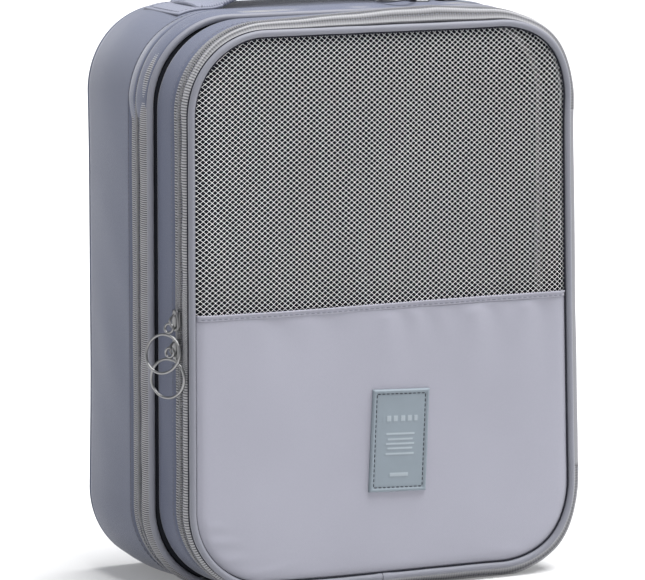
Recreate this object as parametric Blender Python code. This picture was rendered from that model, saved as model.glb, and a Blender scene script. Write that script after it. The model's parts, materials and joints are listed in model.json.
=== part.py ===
"""Upright shoe bag: a deep rear case, a shallow front case and a mesh-windowed cover.

Metres, +Z up, the mesh window faces -Y.  The bag stands on z = 0.
Both the cover and the whole front case open like book covers about fabric
hinges on the right-hand side (+X), once their zips have been run open.
"""
import math

import bmesh
import bpy
from mathutils import Matrix, Vector

# ---------------------------------------------------------------- driving sizes
GAP = 0.0003                      # clearance between pieces that touch

# Outlines seen from the front: (half width, bottom, top, corner radius)
REAR_OUTLINE = (0.122, 0.0, 0.314, 0.047)
LID_OUTLINE = (0.122, 0.0018, 0.3135, 0.047)
FRONT_OUTLINE = (0.115, 0.0070, 0.309, 0.045)
REAR_COIL_OUTLINE = (0.122, 0.0023, 0.314, 0.047)
CORNER_STEPS = 6

# Stations through the depth, from the front face to the back
COVER_FACE_Y = -0.0612            # outer face of the cover's cloth
FRONT_PIPING_Y = -0.060
FRONT_TAPE_START_Y = -0.0577
FRONT_ZIP_Y = -0.0495             # meeting plane of the front zip
FRONT_GUSSET_Y = -0.0407
DIVIDER_Y = -0.0246               # front face of the divider
MIDDLE_PIPING_Y = -0.0241
REAR_TAPE_START_Y = -0.0218
REAR_ZIP_Y = -0.0090              # meeting plane of the rear zip
REAR_GUSSET_Y = 0.0010
BACK_PANEL_Y = 0.0590
BACK_FACE_Y = 0.0620

GUSSET_WALL = 0.0025
PANEL_WALL = 0.0030
COVER_WALL = 0.0020
DIVIDER_WALL = 0.0022
TAPE_WALL = 0.0015
BINDING_WALL = 0.0012
BINDING_WIDTH = 0.0060
PIPING_RADIUS = 0.0020
PIPING_SIDES = 8

# Zip coil: each half is a bar that stands proud of the tape
COIL_PROUD = 0.0020
COIL_INNER = 0.0006               # distance of a half's inner face from the meeting plane
COIL_WIDTH = 0.0016
TAPE_INSET = COIL_INNER + COIL_WIDTH + GAP
ZIP_END_RISE = 0.0060             # how far the tapes run past the corners on the hinge side
STOP_LENGTH = 0.0027

# Cover: mesh window above, cloth panel below, a folded hem between them
COVER_INSET = 0.0043              # cloth edge, measured in from the cover's outline
HEM_BOTTOM_Z = 0.1550
HEM_TOP_Z = 0.1580
HEM_WALL = 0.0026
NET_WALL = 0.0008

# Label patch on the lower panel
LABEL_SIZE = (0.0340, 0.0565)
LABEL_WALL = 0.0012
LABEL_CENTRE = (0.0080, 0.0826)
LABEL_LEAN = math.radians(2.4)

# Carrying handle sewn to the top of the rear case
HANDLE_REACH = 0.0900             # centre to sewn end
HANDLE_FREE = 0.0730              # half length of the free arch
HANDLE_RISE = 0.0280
HANDLE_WALL = 0.0030
HANDLE_Y = (0.0085, 0.0485)
HANDLE_STEPS = 40
ANCHOR_TURN = math.radians(25.0)
ANCHOR_GAP = 0.0009               # clears the flats of the gusset's corner

# Slider: two plates round the coil, joined by a post at the nose
PLATE_WALL = 0.0012
PLATE_GAP = 0.0006                # free space between a plate and the coil
SLIDER_LENGTH = 0.0120
NOSE_WIDTH = 0.0090
TAIL_WIDTH = 0.0066
POST_WIDTH = 0.0006
POST_LENGTH = 0.0030

# Bail: a half hoop over the top plate that carries the ring pull
BAIL_RADIUS = 0.0025
BAIL_WIRE = 0.0010
BAIL_WIDTH = 0.0018
PIVOT_HEIGHT = 0.0026
PIVOT_OFFSET = -0.0015            # from the slider's middle towards its nose

# Ring pull: a small eye fused to a large ring
EYE_RADIUS = 0.0025
EYE_WIRE = 0.00075
RING_RADIUS = 0.0104
RING_WIRE = 0.0007
RING_DROP = 0.0165                # pivot to the ring's centre

FRONT_UPPER_Z = 0.1550
FRONT_LOWER_Z = 0.1390
REAR_MEET_X = 0.0550              # where the rear zip's two sliders meet
REAR_SLIDER_REACH = 0.0080        # from there to each slider's middle
RING_TWIST = math.radians(34.0)
UPPER_LEAN = math.radians(15.0)
LOWER_LEAN = math.radians(5.0)
TOP_LEAN = math.radians(82.8)

# ---------------------------------------------------------------- finishes
FINISHES = {
    "shell_fabric": ((0.200, 0.215, 0.275), 0.75, 0.0),
    "panel_fabric": ((0.370, 0.375, 0.435), 0.70, 0.0),
    "piping_fabric": ((0.260, 0.265, 0.310), 0.65, 0.0),
    "net": ((0.500, 0.510, 0.530), 0.60, 0.0),
    "zip_tape": ((0.240, 0.242, 0.262), 0.85, 0.0),
    "zip_coil": ((0.180, 0.180, 0.195), 0.45, 0.0),
    "binding": ((0.150, 0.155, 0.180), 0.85, 0.0),
    "label": ((0.270, 0.325, 0.360), 0.50, 0.0),
    "metal": ((0.520, 0.520, 0.530), 0.30, 1.0),
}


def make_finish(name):
    """Return the Principled material of one finish, making it on first use."""
    if name in bpy.data.materials:
        return bpy.data.materials[name]
    colour, roughness, metallic = FINISHES[name]
    material = bpy.data.materials.new(name)
    material.use_nodes = True
    shader = material.node_tree.nodes["Principled BSDF"]
    shader.inputs["Base Color"].default_value = (*colour, 1.0)
    shader.inputs["Roughness"].default_value = roughness
    shader.inputs["Metallic"].default_value = metallic
    return material


def add_object(name, mesh, finish):
    """Link a mesh as a named object with its finish."""
    mesh.materials.append(make_finish(finish))
    part = bpy.data.objects.new(name, mesh)
    bpy.context.scene.collection.objects.link(part)
    return part


def mesh_from(verts, faces):
    """Build a mesh with outward faces from points and face loops."""
    shape = bmesh.new()
    points = [shape.verts.new(co) for co in verts]
    for loop in faces:
        shape.faces.new([points[i] for i in loop])
    bmesh.ops.recalc_face_normals(shape, faces=shape.faces)
    mesh = bpy.data.meshes.new("mesh")
    shape.to_mesh(mesh)
    shape.free()
    return mesh


# ---------------------------------------------------------------- outlines
def corner_points(centre_x, centre_z, radius, start_deg):
    """Quarter circle of points, counter-clockwise from start_deg."""
    points = []
    for step in range(CORNER_STEPS + 1):
        turn = math.radians(start_deg + 90.0 * step / CORNER_STEPS)
        points.append((centre_x + radius * math.cos(turn), centre_z + radius * math.sin(turn)))
    return points


def closed_outline(outline, inset):
    """Rounded rectangle, moved in by inset, counter-clockwise seen from the front."""
    half, bottom, top, radius = outline
    core = half - radius
    arc = radius - inset
    points = corner_points(core, top - radius, arc, 0.0)
    points += corner_points(-core, top - radius, arc, 90.0)
    points += corner_points(-core, bottom + radius, arc, 180.0)
    points += corner_points(core, bottom + radius, arc, 270.0)
    return points


def open_outline(outline, inset, end_rise):
    """The same outline without its right-hand side, from upper right round to lower right."""
    half, bottom, top, radius = outline
    side = half - inset
    points = closed_outline(outline, inset)
    if end_rise <= 0.0:
        return points
    upper = (side, top - radius - end_rise)
    lower = (side, bottom + radius + end_rise)
    return [upper] + points + [lower]


def sweep(name, finish, section, path_of, closed):
    """Carry a section of (inset, y) points round an outline."""
    rails = [path_of(inset) for inset, _ in section]
    count = len(rails[0])
    sides = len(section)
    verts = []
    for station in range(count):
        for rail, (_, y) in zip(rails, section):
            x, z = rail[station]
            verts.append((x, y, z))
    faces = []
    for station in range(count if closed else count - 1):
        here = station * sides
        after = (station + 1) % count * sides
        for side in range(sides):
            beside = (side + 1) % sides
            faces.append((here + side, here + beside, after + beside, after + side))
    if not closed:
        faces.append(tuple(range(sides)))
        faces.append(tuple(range((count - 1) * sides, count * sides)))
    return add_object(name, mesh_from(verts, faces), finish)


def box_section(inset, wall, front_y, back_y):
    """Rectangular section of a strip that lies along an outline."""
    return [(inset, front_y), (inset + wall, front_y), (inset + wall, back_y), (inset, back_y)]


def round_section(inset, middle_y, radius, sides):
    """Round section of a piping."""
    turns = [2.0 * math.pi * (step + 0.5) / sides for step in range(sides)]
    return [(inset + radius * math.cos(a), middle_y + radius * math.sin(a)) for a in turns]


def ring(name, finish, outline, section):
    """A closed strip all the way round an outline."""
    return sweep(name, finish, section, lambda inset: closed_outline(outline, inset), True)


def zip_run(name, finish, outline, section, end_rise):
    """A strip round three sides of an outline, open on the hinge side."""
    return sweep(name, finish, section, lambda inset: open_outline(outline, inset, end_rise), False)


def plate(name, finish, points, front_y, back_y):
    """A flat panel with the given (x, z) edge."""
    count = len(points)
    verts = [(x, front_y, z) for x, z in points] + [(x, back_y, z) for x, z in points]
    faces = [tuple(range(count)), tuple(range(count, 2 * count))]
    for i in range(count):
        j = (i + 1) % count
        faces.append((i, j, count + j, count + i))
    return add_object(name, mesh_from(verts, faces), finish)


def box(name, finish, low, high):
    """An upright block between two corners."""
    mesh = bpy.data.meshes.new("mesh")
    shape = bmesh.new()
    bmesh.ops.create_cube(shape, size=1.0)
    size = Vector(high) - Vector(low)
    middle = (Vector(high) + Vector(low)) / 2.0
    bmesh.ops.scale(shape, vec=size, verts=shape.verts)
    bmesh.ops.translate(shape, vec=middle, verts=shape.verts)
    shape.to_mesh(mesh)
    shape.free()
    return add_object(name, mesh, finish)


# ---------------------------------------------------------------- zips and hinges
def zip_tape(name, outline, front_y, back_y):
    """One tape of a zip: a thin band flush with the outline."""
    section = box_section(0.0, TAPE_WALL, front_y, back_y)
    return zip_run(name, "zip_tape", outline, section, ZIP_END_RISE)


def zip_coil(name, outline, zip_y, side):
    """One half of a zip's coil, in front of (side -1) or behind (+1) the meeting plane."""
    near = zip_y + side * COIL_INNER
    far = near + side * COIL_WIDTH
    section = box_section(-COIL_PROUD, COIL_PROUD + TAPE_WALL, min(near, far), max(near, far))
    return zip_run(name, "zip_coil", outline, section, 0.0)


def zip_stops(prefix, outline, zip_y):
    """End stops of a zip, clamped on the fixed tape where the coil ends."""
    half, bottom, top, radius = outline
    near = zip_y + COIL_INNER
    heights = {"upper": top - radius - GAP - STOP_LENGTH, "lower": bottom + radius + GAP}
    for place, low_z in heights.items():
        low = (half - TAPE_WALL, near, low_z)
        high = (half + COIL_PROUD, near + COIL_WIDTH, low_z + STOP_LENGTH)
        box(f"{prefix}_zip_{place}_stop", "zip_coil", low, high)


def hinge_strip(name, finish, outline, front_y, back_y):
    """Cloth strip that closes the hinge side between the two ends of a zip."""
    half, bottom, top, radius = outline
    low_z = bottom + radius + ZIP_END_RISE + GAP
    high_z = top - radius - ZIP_END_RISE - GAP
    low = (half - TAPE_WALL, front_y, low_z)
    high = (half, back_y, high_z)
    return box(name, finish, low, high)


# ---------------------------------------------------------------- rear case
def build_rear_case():
    """Back panel, deep gusset and the fixed half of the rear zip."""
    plate("back_panel", "shell_fabric", closed_outline(REAR_OUTLINE, 0.0), BACK_PANEL_Y, BACK_FACE_Y)
    gusset = box_section(0.0, GUSSET_WALL, REAR_GUSSET_Y, BACK_PANEL_Y - GAP)
    ring("rear_gusset", "shell_fabric", REAR_OUTLINE, gusset)
    binding = box_section(GUSSET_WALL + GAP, BINDING_WALL, BACK_PANEL_Y - GAP - BINDING_WIDTH,
                          BACK_PANEL_Y - GAP)
    ring("back_seam_binding", "binding", REAR_OUTLINE, binding)
    zip_tape("rear_zip_rear_tape", REAR_OUTLINE, REAR_ZIP_Y + TAPE_INSET, REAR_GUSSET_Y - GAP)
    zip_coil("rear_zip_rear_coil", REAR_COIL_OUTLINE, REAR_ZIP_Y, 1.0)
    zip_stops("rear", REAR_COIL_OUTLINE, REAR_ZIP_Y)


def top_surface(x):
    """Height of the rear case's top above the given x."""
    half, _, top, radius = REAR_OUTLINE
    over = abs(x) - (half - radius)
    if over <= 0.0:
        return top
    return top - radius + math.sqrt(radius ** 2 - over ** 2)


def handle_underside(x):
    """Height of the handle's underside: flat on the case at its ends, arched between."""
    lift = 0.0
    if abs(x) < HANDLE_FREE:
        lift = HANDLE_RISE * (1.0 - (x / HANDLE_FREE) ** 2) ** 2
    return top_surface(x) + GAP + lift


def build_handle():
    """Padded strap handle, and the patches inside the case that its ends are sewn to."""
    under = []
    over = []
    for step in range(HANDLE_STEPS + 1):
        x = HANDLE_REACH * (2.0 * step / HANDLE_STEPS - 1.0)
        reach = HANDLE_REACH / HANDLE_STEPS
        slope = (handle_underside(x + reach) - handle_underside(x - reach)) / (2.0 * reach)
        normal = Vector((-slope, 1.0)).normalized()
        z = handle_underside(x)
        under.append((x, z))
        over.append((x + normal.x * HANDLE_WALL, z + normal.y * HANDLE_WALL))
    front_y, back_y = HANDLE_Y
    verts = []
    for (xu, zu), (xo, zo) in zip(under, over):
        verts += [(xu, front_y, zu), (xo, front_y, zo), (xo, back_y, zo), (xu, back_y, zu)]
    faces = [(0, 1, 2, 3)]
    for step in range(HANDLE_STEPS):
        base = 4 * step
        for side in range(4):
            beside = (side + 1) % 4
            faces.append((base + side, base + beside, base + 4 + beside, base + 4 + side))
    last = 4 * HANDLE_STEPS
    faces.append((last, last + 1, last + 2, last + 3))
    add_object("handle_strap", mesh_from(verts, faces), "panel_fabric")

    half, _, top, radius = REAR_OUTLINE
    outer = radius - GUSSET_WALL - ANCHOR_GAP
    inner = outer - BINDING_WALL
    for name, side in (("handle_left_anchor", -1.0), ("handle_right_anchor", 1.0)):
        edge = []
        for arc in (outer, inner):
            arc_points = []
            for step in range(CORNER_STEPS + 1):
                turn = ANCHOR_TURN * step / CORNER_STEPS
                x = side * (half - radius + arc * math.sin(turn))
                arc_points.append((x, top - radius + arc * math.cos(turn)))
            edge += arc_points if arc == outer else arc_points[::-1]
        plate(name, "binding", edge, front_y, back_y)


# ---------------------------------------------------------------- front case
def build_front_case():
    """Divider with its piping, shallow gusset, and one half of each zip."""
    divider = closed_outline(LID_OUTLINE, PIPING_RADIUS + 0.0009)
    plate("divider_panel", "shell_fabric", divider, DIVIDER_Y, DIVIDER_Y + DIVIDER_WALL)
    piping = round_section(0.0005, MIDDLE_PIPING_Y, PIPING_RADIUS, PIPING_SIDES)
    ring("middle_piping", "piping_fabric", LID_OUTLINE, piping)
    zip_tape("rear_zip_front_tape", REAR_OUTLINE, REAR_TAPE_START_Y, REAR_ZIP_Y - TAPE_INSET)
    zip_coil("rear_zip_front_coil", REAR_COIL_OUTLINE, REAR_ZIP_Y, -1.0)
    binding = box_section(TAPE_WALL + GAP, BINDING_WALL, REAR_TAPE_START_Y + GAP,
                          REAR_TAPE_START_Y + GAP + BINDING_WIDTH)
    ring("divider_seam_binding", "binding", REAR_OUTLINE, binding)
    hinge_strip("rear_hinge_strip", "shell_fabric", REAR_OUTLINE, REAR_TAPE_START_Y,
                REAR_GUSSET_Y - GAP)

    gusset = box_section(0.0, GUSSET_WALL, FRONT_GUSSET_Y, DIVIDER_Y - GAP)
    ring("front_gusset", "shell_fabric", FRONT_OUTLINE, gusset)
    binding = box_section(GUSSET_WALL + GAP, BINDING_WALL, DIVIDER_Y - GAP - BINDING_WIDTH,
                          DIVIDER_Y - GAP)
    ring("front_gusset_binding", "binding", FRONT_OUTLINE, binding)
    zip_tape("front_zip_rear_tape", FRONT_OUTLINE, FRONT_ZIP_Y + TAPE_INSET, FRONT_GUSSET_Y - GAP)
    zip_coil("front_zip_rear_coil", FRONT_OUTLINE, FRONT_ZIP_Y, 1.0)
    zip_stops("front", FRONT_OUTLINE, FRONT_ZIP_Y)


# ---------------------------------------------------------------- cover
def build_cover():
    """Piped front cover: mesh window, hem, cloth panel and one half of the front zip."""
    edge = closed_outline(FRONT_OUTLINE, COVER_INSET)
    quarter = CORNER_STEPS + 1
    half = FRONT_OUTLINE[0] - COVER_INSET
    net_low = HEM_TOP_Z + GAP
    panel_high = HEM_BOTTOM_Z - GAP
    window = edge[:2 * quarter] + [(-half, net_low), (half, net_low)]
    panel = edge[2 * quarter:] + [(half, panel_high), (-half, panel_high)]
    cloth_back = COVER_FACE_Y + COVER_WALL
    net_y = COVER_FACE_Y + (COVER_WALL - NET_WALL) / 2.0
    plate("window_net", "net", window, net_y, net_y + NET_WALL)
    plate("lower_panel", "panel_fabric", panel, COVER_FACE_Y, cloth_back)
    hem_y = (COVER_FACE_Y + cloth_back - HEM_WALL) / 2.0
    box("window_hem", "panel_fabric", (-half, hem_y, HEM_BOTTOM_Z), (half, hem_y + HEM_WALL, HEM_TOP_Z))

    piping = round_section(PIPING_RADIUS, FRONT_PIPING_Y, PIPING_RADIUS, PIPING_SIDES)
    ring("front_piping", "piping_fabric", FRONT_OUTLINE, piping)
    binding = box_section(TAPE_WALL + GAP, BINDING_WALL, FRONT_TAPE_START_Y,
                          FRONT_ZIP_Y - NOSE_WIDTH / 2.0 - GAP)
    ring("cover_seam_binding", "binding", FRONT_OUTLINE, binding)
    zip_tape("front_zip_front_tape", FRONT_OUTLINE, FRONT_TAPE_START_Y, FRONT_ZIP_Y - TAPE_INSET)
    zip_coil("front_zip_front_coil", FRONT_OUTLINE, FRONT_ZIP_Y, -1.0)
    hinge_strip("front_hinge_strip", "shell_fabric", FRONT_OUTLINE, FRONT_TAPE_START_Y,
                FRONT_GUSSET_Y - GAP)
    build_label()


def build_label():
    """Moulded patch, set leaning a little on the lower panel."""
    half_x, half_z = LABEL_SIZE[0] / 2.0, LABEL_SIZE[1] / 2.0
    corners = [(-half_x, -half_z), (half_x, -half_z), (half_x, half_z), (-half_x, half_z)]
    lean = Matrix.Rotation(-LABEL_LEAN, 2)
    points = [tuple(lean @ Vector(corner) + Vector(LABEL_CENTRE)) for corner in corners]
    back = COVER_FACE_Y - GAP
    plate("label_patch", "label", points, back - LABEL_WALL, back)


# ---------------------------------------------------------------- sliders and pulls
def unite(part, cutter):
    """Join a guide body onto a part with an exact Boolean."""
    cutter.hide_render = True
    cutter.display_type = "WIRE"
    cutter.parent = part.parent
    fuse = part.modifiers.new("fuse", "BOOLEAN")
    fuse.operation = "UNION"
    fuse.solver = "EXACT"
    fuse.object = cutter


def plan_prism(low, high):
    """Slider plate: its plan tapers from the nose (-x) to the tail (+x)."""
    nose, tail = -SLIDER_LENGTH / 2.0, SLIDER_LENGTH / 2.0
    wide, slim = NOSE_WIDTH / 2.0, TAIL_WIDTH / 2.0
    chamfer = 0.0015
    plan = [(nose, -wide + chamfer), (nose + chamfer, -wide), (tail - chamfer, -slim),
            (tail, -slim + chamfer), (tail, slim - chamfer), (tail - chamfer, slim),
            (nose + chamfer, wide), (nose, wide - chamfer)]
    count = len(plan)
    verts = [(x, y, low) for x, y in plan] + [(x, y, high) for x, y in plan]
    faces = [tuple(range(count)), tuple(range(count, 2 * count))]
    for i in range(count):
        j = (i + 1) % count
        faces.append((i, j, count + j, count + i))
    return verts, faces


def build_slider(name, frame):
    """Two plates and their post; frame has +x to the tail and +z out of the bag."""
    top_low = COIL_PROUD + PLATE_GAP
    top_high = top_low + PLATE_WALL
    base_high = -TAPE_WALL - PLATE_GAP
    base_low = base_high - PLATE_WALL
    body = add_object(name, mesh_from(*plan_prism(top_low, top_high)), "metal")
    base = add_object(f"{name}_base_guide", mesh_from(*plan_prism(base_low, base_high)), "metal")
    nose = -SLIDER_LENGTH / 2.0
    sink = PLATE_WALL / 2.0
    post = box(f"{name}_post_guide", "metal", (nose, -POST_WIDTH / 2.0, base_high - sink),
               (nose + POST_LENGTH, POST_WIDTH / 2.0, top_low + sink))
    for piece in (body, base, post):
        piece.matrix_world = frame
    unite(body, post)
    unite(body, base)


def build_bail(name, frame):
    """Half hoop round the pivot, with straight legs down to the top plate."""
    foot = COIL_PROUD + PLATE_GAP + PLATE_WALL + GAP
    pivot = COIL_PROUD + PLATE_GAP + PLATE_WALL + PIVOT_HEIGHT
    steps = 8
    inner = []
    outer = []
    for radius, edge in ((BAIL_RADIUS - BAIL_WIRE / 2.0, inner), (BAIL_RADIUS + BAIL_WIRE / 2.0, outer)):
        edge.append((PIVOT_OFFSET + radius, foot))
        for step in range(steps + 1):
            turn = math.pi * step / steps
            edge.append((PIVOT_OFFSET + radius * math.cos(turn), pivot + radius * math.sin(turn)))
        edge.append((PIVOT_OFFSET - radius, foot))
    profile = outer + inner[::-1]
    count = len(profile)
    width = BAIL_WIDTH / 2.0
    verts = [(x, -width, z) for x, z in profile] + [(x, width, z) for x, z in profile]
    faces = [tuple(range(count)), tuple(range(count, 2 * count))]
    for i in range(count):
        j = (i + 1) % count
        faces.append((i, j, count + j, count + i))
    bail = add_object(name, mesh_from(verts, faces), "metal")
    bail.matrix_world = frame


def torus_mesh(radius, wire, centre_z, rounds, sides):
    """Ring in the local YZ plane, its centre on the local Z axis."""
    verts = []
    faces = []
    for i in range(rounds):
        turn = 2.0 * math.pi * i / rounds
        for j in range(sides):
            spin = 2.0 * math.pi * j / sides
            reach = radius + wire * math.cos(spin)
            verts.append((wire * math.sin(spin), reach * math.sin(turn), centre_z + reach * math.cos(turn)))
    for i in range(rounds):
        for j in range(sides):
            k, m = (i + 1) % rounds, (j + 1) % sides
            faces.append((i * sides + j, i * sides + m, k * sides + m, k * sides + j))
    return mesh_from(verts, faces)


def build_ring_pull(name, pivot, lean, twist):
    """Eye and ring cast in one; the object's origin is on the pivot."""
    pull = add_object(name, torus_mesh(RING_RADIUS, RING_WIRE, -RING_DROP, 20, 6), "metal")
    eye = add_object(f"{name}_eye_guide", torus_mesh(EYE_RADIUS, EYE_WIRE, -EYE_RADIUS, 12, 6), "metal")
    place = Matrix.Translation(pivot) @ Matrix.Rotation(lean, 4, "Y") @ Matrix.Rotation(twist, 4, "Z")
    pull.matrix_world = place
    eye.matrix_world = place
    unite(pull, eye)


def slider_set(prefix, point, tail, out, lean, twist):
    """One slider with its bail and ring pull; point is on the outline, at the slider's middle."""
    across = out.cross(tail)
    frame = Matrix((tail, across, out)).transposed().to_4x4()
    frame.translation = point
    build_slider(f"{prefix}_slider", frame)
    build_bail(f"{prefix}_bail", frame)
    height = COIL_PROUD + PLATE_GAP + PLATE_WALL + PIVOT_HEIGHT
    pivot = frame @ Vector((PIVOT_OFFSET, 0.0, height))
    build_ring_pull(f"{prefix}_ring_pull", pivot, lean, twist)


def build_sliders():
    """Two sliders meet nose to nose on each zip: on the left side, and on the top."""
    up, down = Vector((0.0, 0.0, 1.0)), Vector((0.0, 0.0, -1.0))
    left, right = Vector((-1.0, 0.0, 0.0)), Vector((1.0, 0.0, 0.0))
    side_x = -FRONT_OUTLINE[0]
    top_z = REAR_OUTLINE[2]
    slider_set("front_upper", Vector((side_x, FRONT_ZIP_Y, FRONT_UPPER_Z)), up, left,
               UPPER_LEAN, RING_TWIST)
    slider_set("front_lower", Vector((side_x, FRONT_ZIP_Y, FRONT_LOWER_Z)), down, left,
               LOWER_LEAN, RING_TWIST)
    left_x, right_x = REAR_MEET_X - REAR_SLIDER_REACH, REAR_MEET_X + REAR_SLIDER_REACH
    slider_set("rear_left", Vector((left_x, REAR_ZIP_Y, top_z)), left, up, TOP_LEAN, 0.0)
    slider_set("rear_right", Vector((right_x, REAR_ZIP_Y, top_z)), right, up, -TOP_LEAN, 0.0)


def main():
    """Clear the scene and build the bag."""
    for item in list(bpy.data.objects):
        bpy.data.objects.remove(item, do_unlink=True)
    build_rear_case()
    build_handle()
    build_front_case()
    build_cover()
    build_sliders()


main()
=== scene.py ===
"""Looks of the shoe bag: cloth, net, zips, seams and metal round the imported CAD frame."""
import json
import math

import bpy
import numpy as np
from mathutils import Matrix, Vector

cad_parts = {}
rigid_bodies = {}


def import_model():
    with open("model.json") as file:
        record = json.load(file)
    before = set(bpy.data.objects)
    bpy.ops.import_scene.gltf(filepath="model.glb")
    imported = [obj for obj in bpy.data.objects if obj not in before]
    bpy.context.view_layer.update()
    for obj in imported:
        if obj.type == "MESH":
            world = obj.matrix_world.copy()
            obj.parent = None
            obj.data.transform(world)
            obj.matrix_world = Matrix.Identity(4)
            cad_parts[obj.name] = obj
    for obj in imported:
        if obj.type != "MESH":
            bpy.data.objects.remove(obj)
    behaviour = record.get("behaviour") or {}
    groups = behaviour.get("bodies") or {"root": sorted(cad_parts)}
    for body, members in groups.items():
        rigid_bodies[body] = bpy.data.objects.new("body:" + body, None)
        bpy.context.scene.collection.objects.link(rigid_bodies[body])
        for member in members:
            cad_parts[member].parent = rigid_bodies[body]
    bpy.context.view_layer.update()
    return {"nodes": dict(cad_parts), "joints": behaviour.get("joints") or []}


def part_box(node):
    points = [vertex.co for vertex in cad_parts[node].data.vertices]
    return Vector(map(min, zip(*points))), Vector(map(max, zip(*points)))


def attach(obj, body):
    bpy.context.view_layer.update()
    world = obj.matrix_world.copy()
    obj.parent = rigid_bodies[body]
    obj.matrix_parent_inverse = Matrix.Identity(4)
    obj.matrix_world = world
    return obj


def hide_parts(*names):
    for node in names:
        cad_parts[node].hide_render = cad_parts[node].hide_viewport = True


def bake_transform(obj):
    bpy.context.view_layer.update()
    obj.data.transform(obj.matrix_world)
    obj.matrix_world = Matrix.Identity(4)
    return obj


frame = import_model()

MM = 0.001
ALONG_X, ALONG_Y = np.array([1.0, 0.0, 0.0]), np.array([0.0, 1.0, 0.0])

# ------------------------------------------------------------------ sizes, from the frame
BACK_LO, BACK_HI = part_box("back_panel")
GUSSET_LO, GUSSET_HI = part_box("rear_gusset")
FRONT_LO, FRONT_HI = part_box("front_gusset")
DIVIDER_LO, DIVIDER_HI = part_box("divider_panel")
PANEL_LO, PANEL_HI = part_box("lower_panel")
NET_LO, NET_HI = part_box("window_net")
HEM_LO, HEM_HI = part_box("window_hem")
LABEL_LO, LABEL_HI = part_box("label_patch")
HANDLE_LO, HANDLE_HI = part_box("handle_strap")
PIPING_LO, PIPING_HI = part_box("front_piping")
MIDDLE_LO, MIDDLE_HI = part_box("middle_piping")

REAR_RADIUS = 47 * MM
FRONT_RADIUS = 45 * MM
LID_RISE = 1.8 * MM
LID_DROP = 0.5 * MM
COIL_RISE = 2.3 * MM

# Least heights over the floor, of cloth and of stitches
FLOOR_CLEAR = 0.05 * MM
STITCH_CLEAR = 0.45 * MM

# Outlines seen from the front: half width, bottom, top, corner radius
REAR = (GUSSET_HI.x, GUSSET_LO.z, GUSSET_HI.z, REAR_RADIUS)
REAR_COIL = (GUSSET_HI.x, GUSSET_LO.z + COIL_RISE, GUSSET_HI.z, REAR_RADIUS)
LID = (GUSSET_HI.x, GUSSET_LO.z + LID_RISE, GUSSET_HI.z - LID_DROP, REAR_RADIUS)
FRONT = (FRONT_HI.x, FRONT_LO.z, FRONT_HI.z, FRONT_RADIUS)

# Meeting planes of the zips, and how far from the corners their side runs end
FRONT_ZIP_Y = (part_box("front_zip_front_coil")[1].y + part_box("front_zip_rear_coil")[0].y) / 2.0
REAR_ZIP_Y = (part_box("rear_zip_front_coil")[1].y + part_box("rear_zip_rear_coil")[0].y) / 2.0
ZIP_END_RISE = 6 * MM
PIPING_RADIUS = (PIPING_HI.y - PIPING_LO.y) / 2.0
FRONT_PIPING_Y = (PIPING_HI.y + PIPING_LO.y) / 2.0
MIDDLE_PIPING_Y = (MIDDLE_HI.y + MIDDLE_LO.y) / 2.0
PIVOTS = {joint["name"]: Vector(joint["pos_m"]) for joint in frame["joints"] if "pos_m" in joint}


# ------------------------------------------------------------------ materials
def new_material(name, roughness, metallic=0.0, sheen=0.0, gloss=0.5):
    """A Principled material, its node tree and its shader."""
    material = bpy.data.materials.new(name)
    material.use_nodes = True
    shader = material.node_tree.nodes["Principled BSDF"]
    shader.inputs["Roughness"].default_value = roughness
    shader.inputs["Metallic"].default_value = metallic
    shader.inputs["Sheen Weight"].default_value = sheen
    shader.inputs["Sheen Roughness"].default_value = 0.45
    shader.inputs["Specular IOR Level"].default_value = gloss
    return material, material.node_tree, shader


def calc(tree, operation, first, second=0.0):
    """A Math node; its inputs may be sockets or numbers."""
    node = tree.nodes.new("ShaderNodeMath")
    node.operation = operation
    for socket, value in zip(node.inputs, (first, second)):
        if isinstance(value, (int, float)):
            socket.default_value = value
        else:
            tree.links.new(value, socket)
    return node.outputs[0]


def noise(tree, vector, scale, detail=2.0):
    """Value of a Noise texture."""
    node = tree.nodes.new("ShaderNodeTexNoise")
    node.inputs["Scale"].default_value = scale
    node.inputs["Detail"].default_value = detail
    tree.links.new(vector, node.inputs["Vector"])
    return node.outputs["Fac"]


def tinted(tree, shader, colour, amount, value):
    """Base colour that runs a little darker and lighter with value (0 to 1)."""
    ramp = tree.nodes.new("ShaderNodeValToRGB")
    low, high = ramp.color_ramp.elements
    low.position, high.position = 0.25, 0.75
    low.color = (*[c * (1.0 - amount) for c in colour], 1.0)
    high.color = (*[min(1.0, c * (1.0 + amount)) for c in colour], 1.0)
    tree.links.new(value, ramp.inputs["Fac"])
    tree.links.new(ramp.outputs["Color"], shader.inputs["Base Color"])


def bumped(tree, shader, height, strength, distance):
    """Bump from a height socket."""
    bump = tree.nodes.new("ShaderNodeBump")
    bump.inputs["Strength"].default_value = strength
    bump.inputs["Distance"].default_value = distance
    tree.links.new(height, bump.inputs["Height"])
    tree.links.new(bump.outputs["Normal"], shader.inputs["Normal"])


def weave_height(tree, pitch):
    """Plain weave on UVs that are in metres: threads pass over and under by turns."""
    coords = tree.nodes.new("ShaderNodeTexCoord")
    split = tree.nodes.new("ShaderNodeSeparateXYZ")
    tree.links.new(coords.outputs["UV"], split.inputs[0])
    turn = math.pi / pitch
    warp = calc(tree, "ABSOLUTE", calc(tree, "SINE", calc(tree, "MULTIPLY", split.outputs[0], turn)))
    weft = calc(tree, "ABSOLUTE", calc(tree, "SINE", calc(tree, "MULTIPLY", split.outputs[1], turn)))
    checker = tree.nodes.new("ShaderNodeTexChecker")
    checker.inputs["Scale"].default_value = 1.0 / pitch
    tree.links.new(coords.outputs["UV"], checker.inputs["Vector"])
    over = checker.outputs["Fac"]
    under = calc(tree, "SUBTRACT", 1.0, over)
    return calc(tree, "ADD", calc(tree, "MULTIPLY", warp, over), calc(tree, "MULTIPLY", weft, under))


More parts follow.
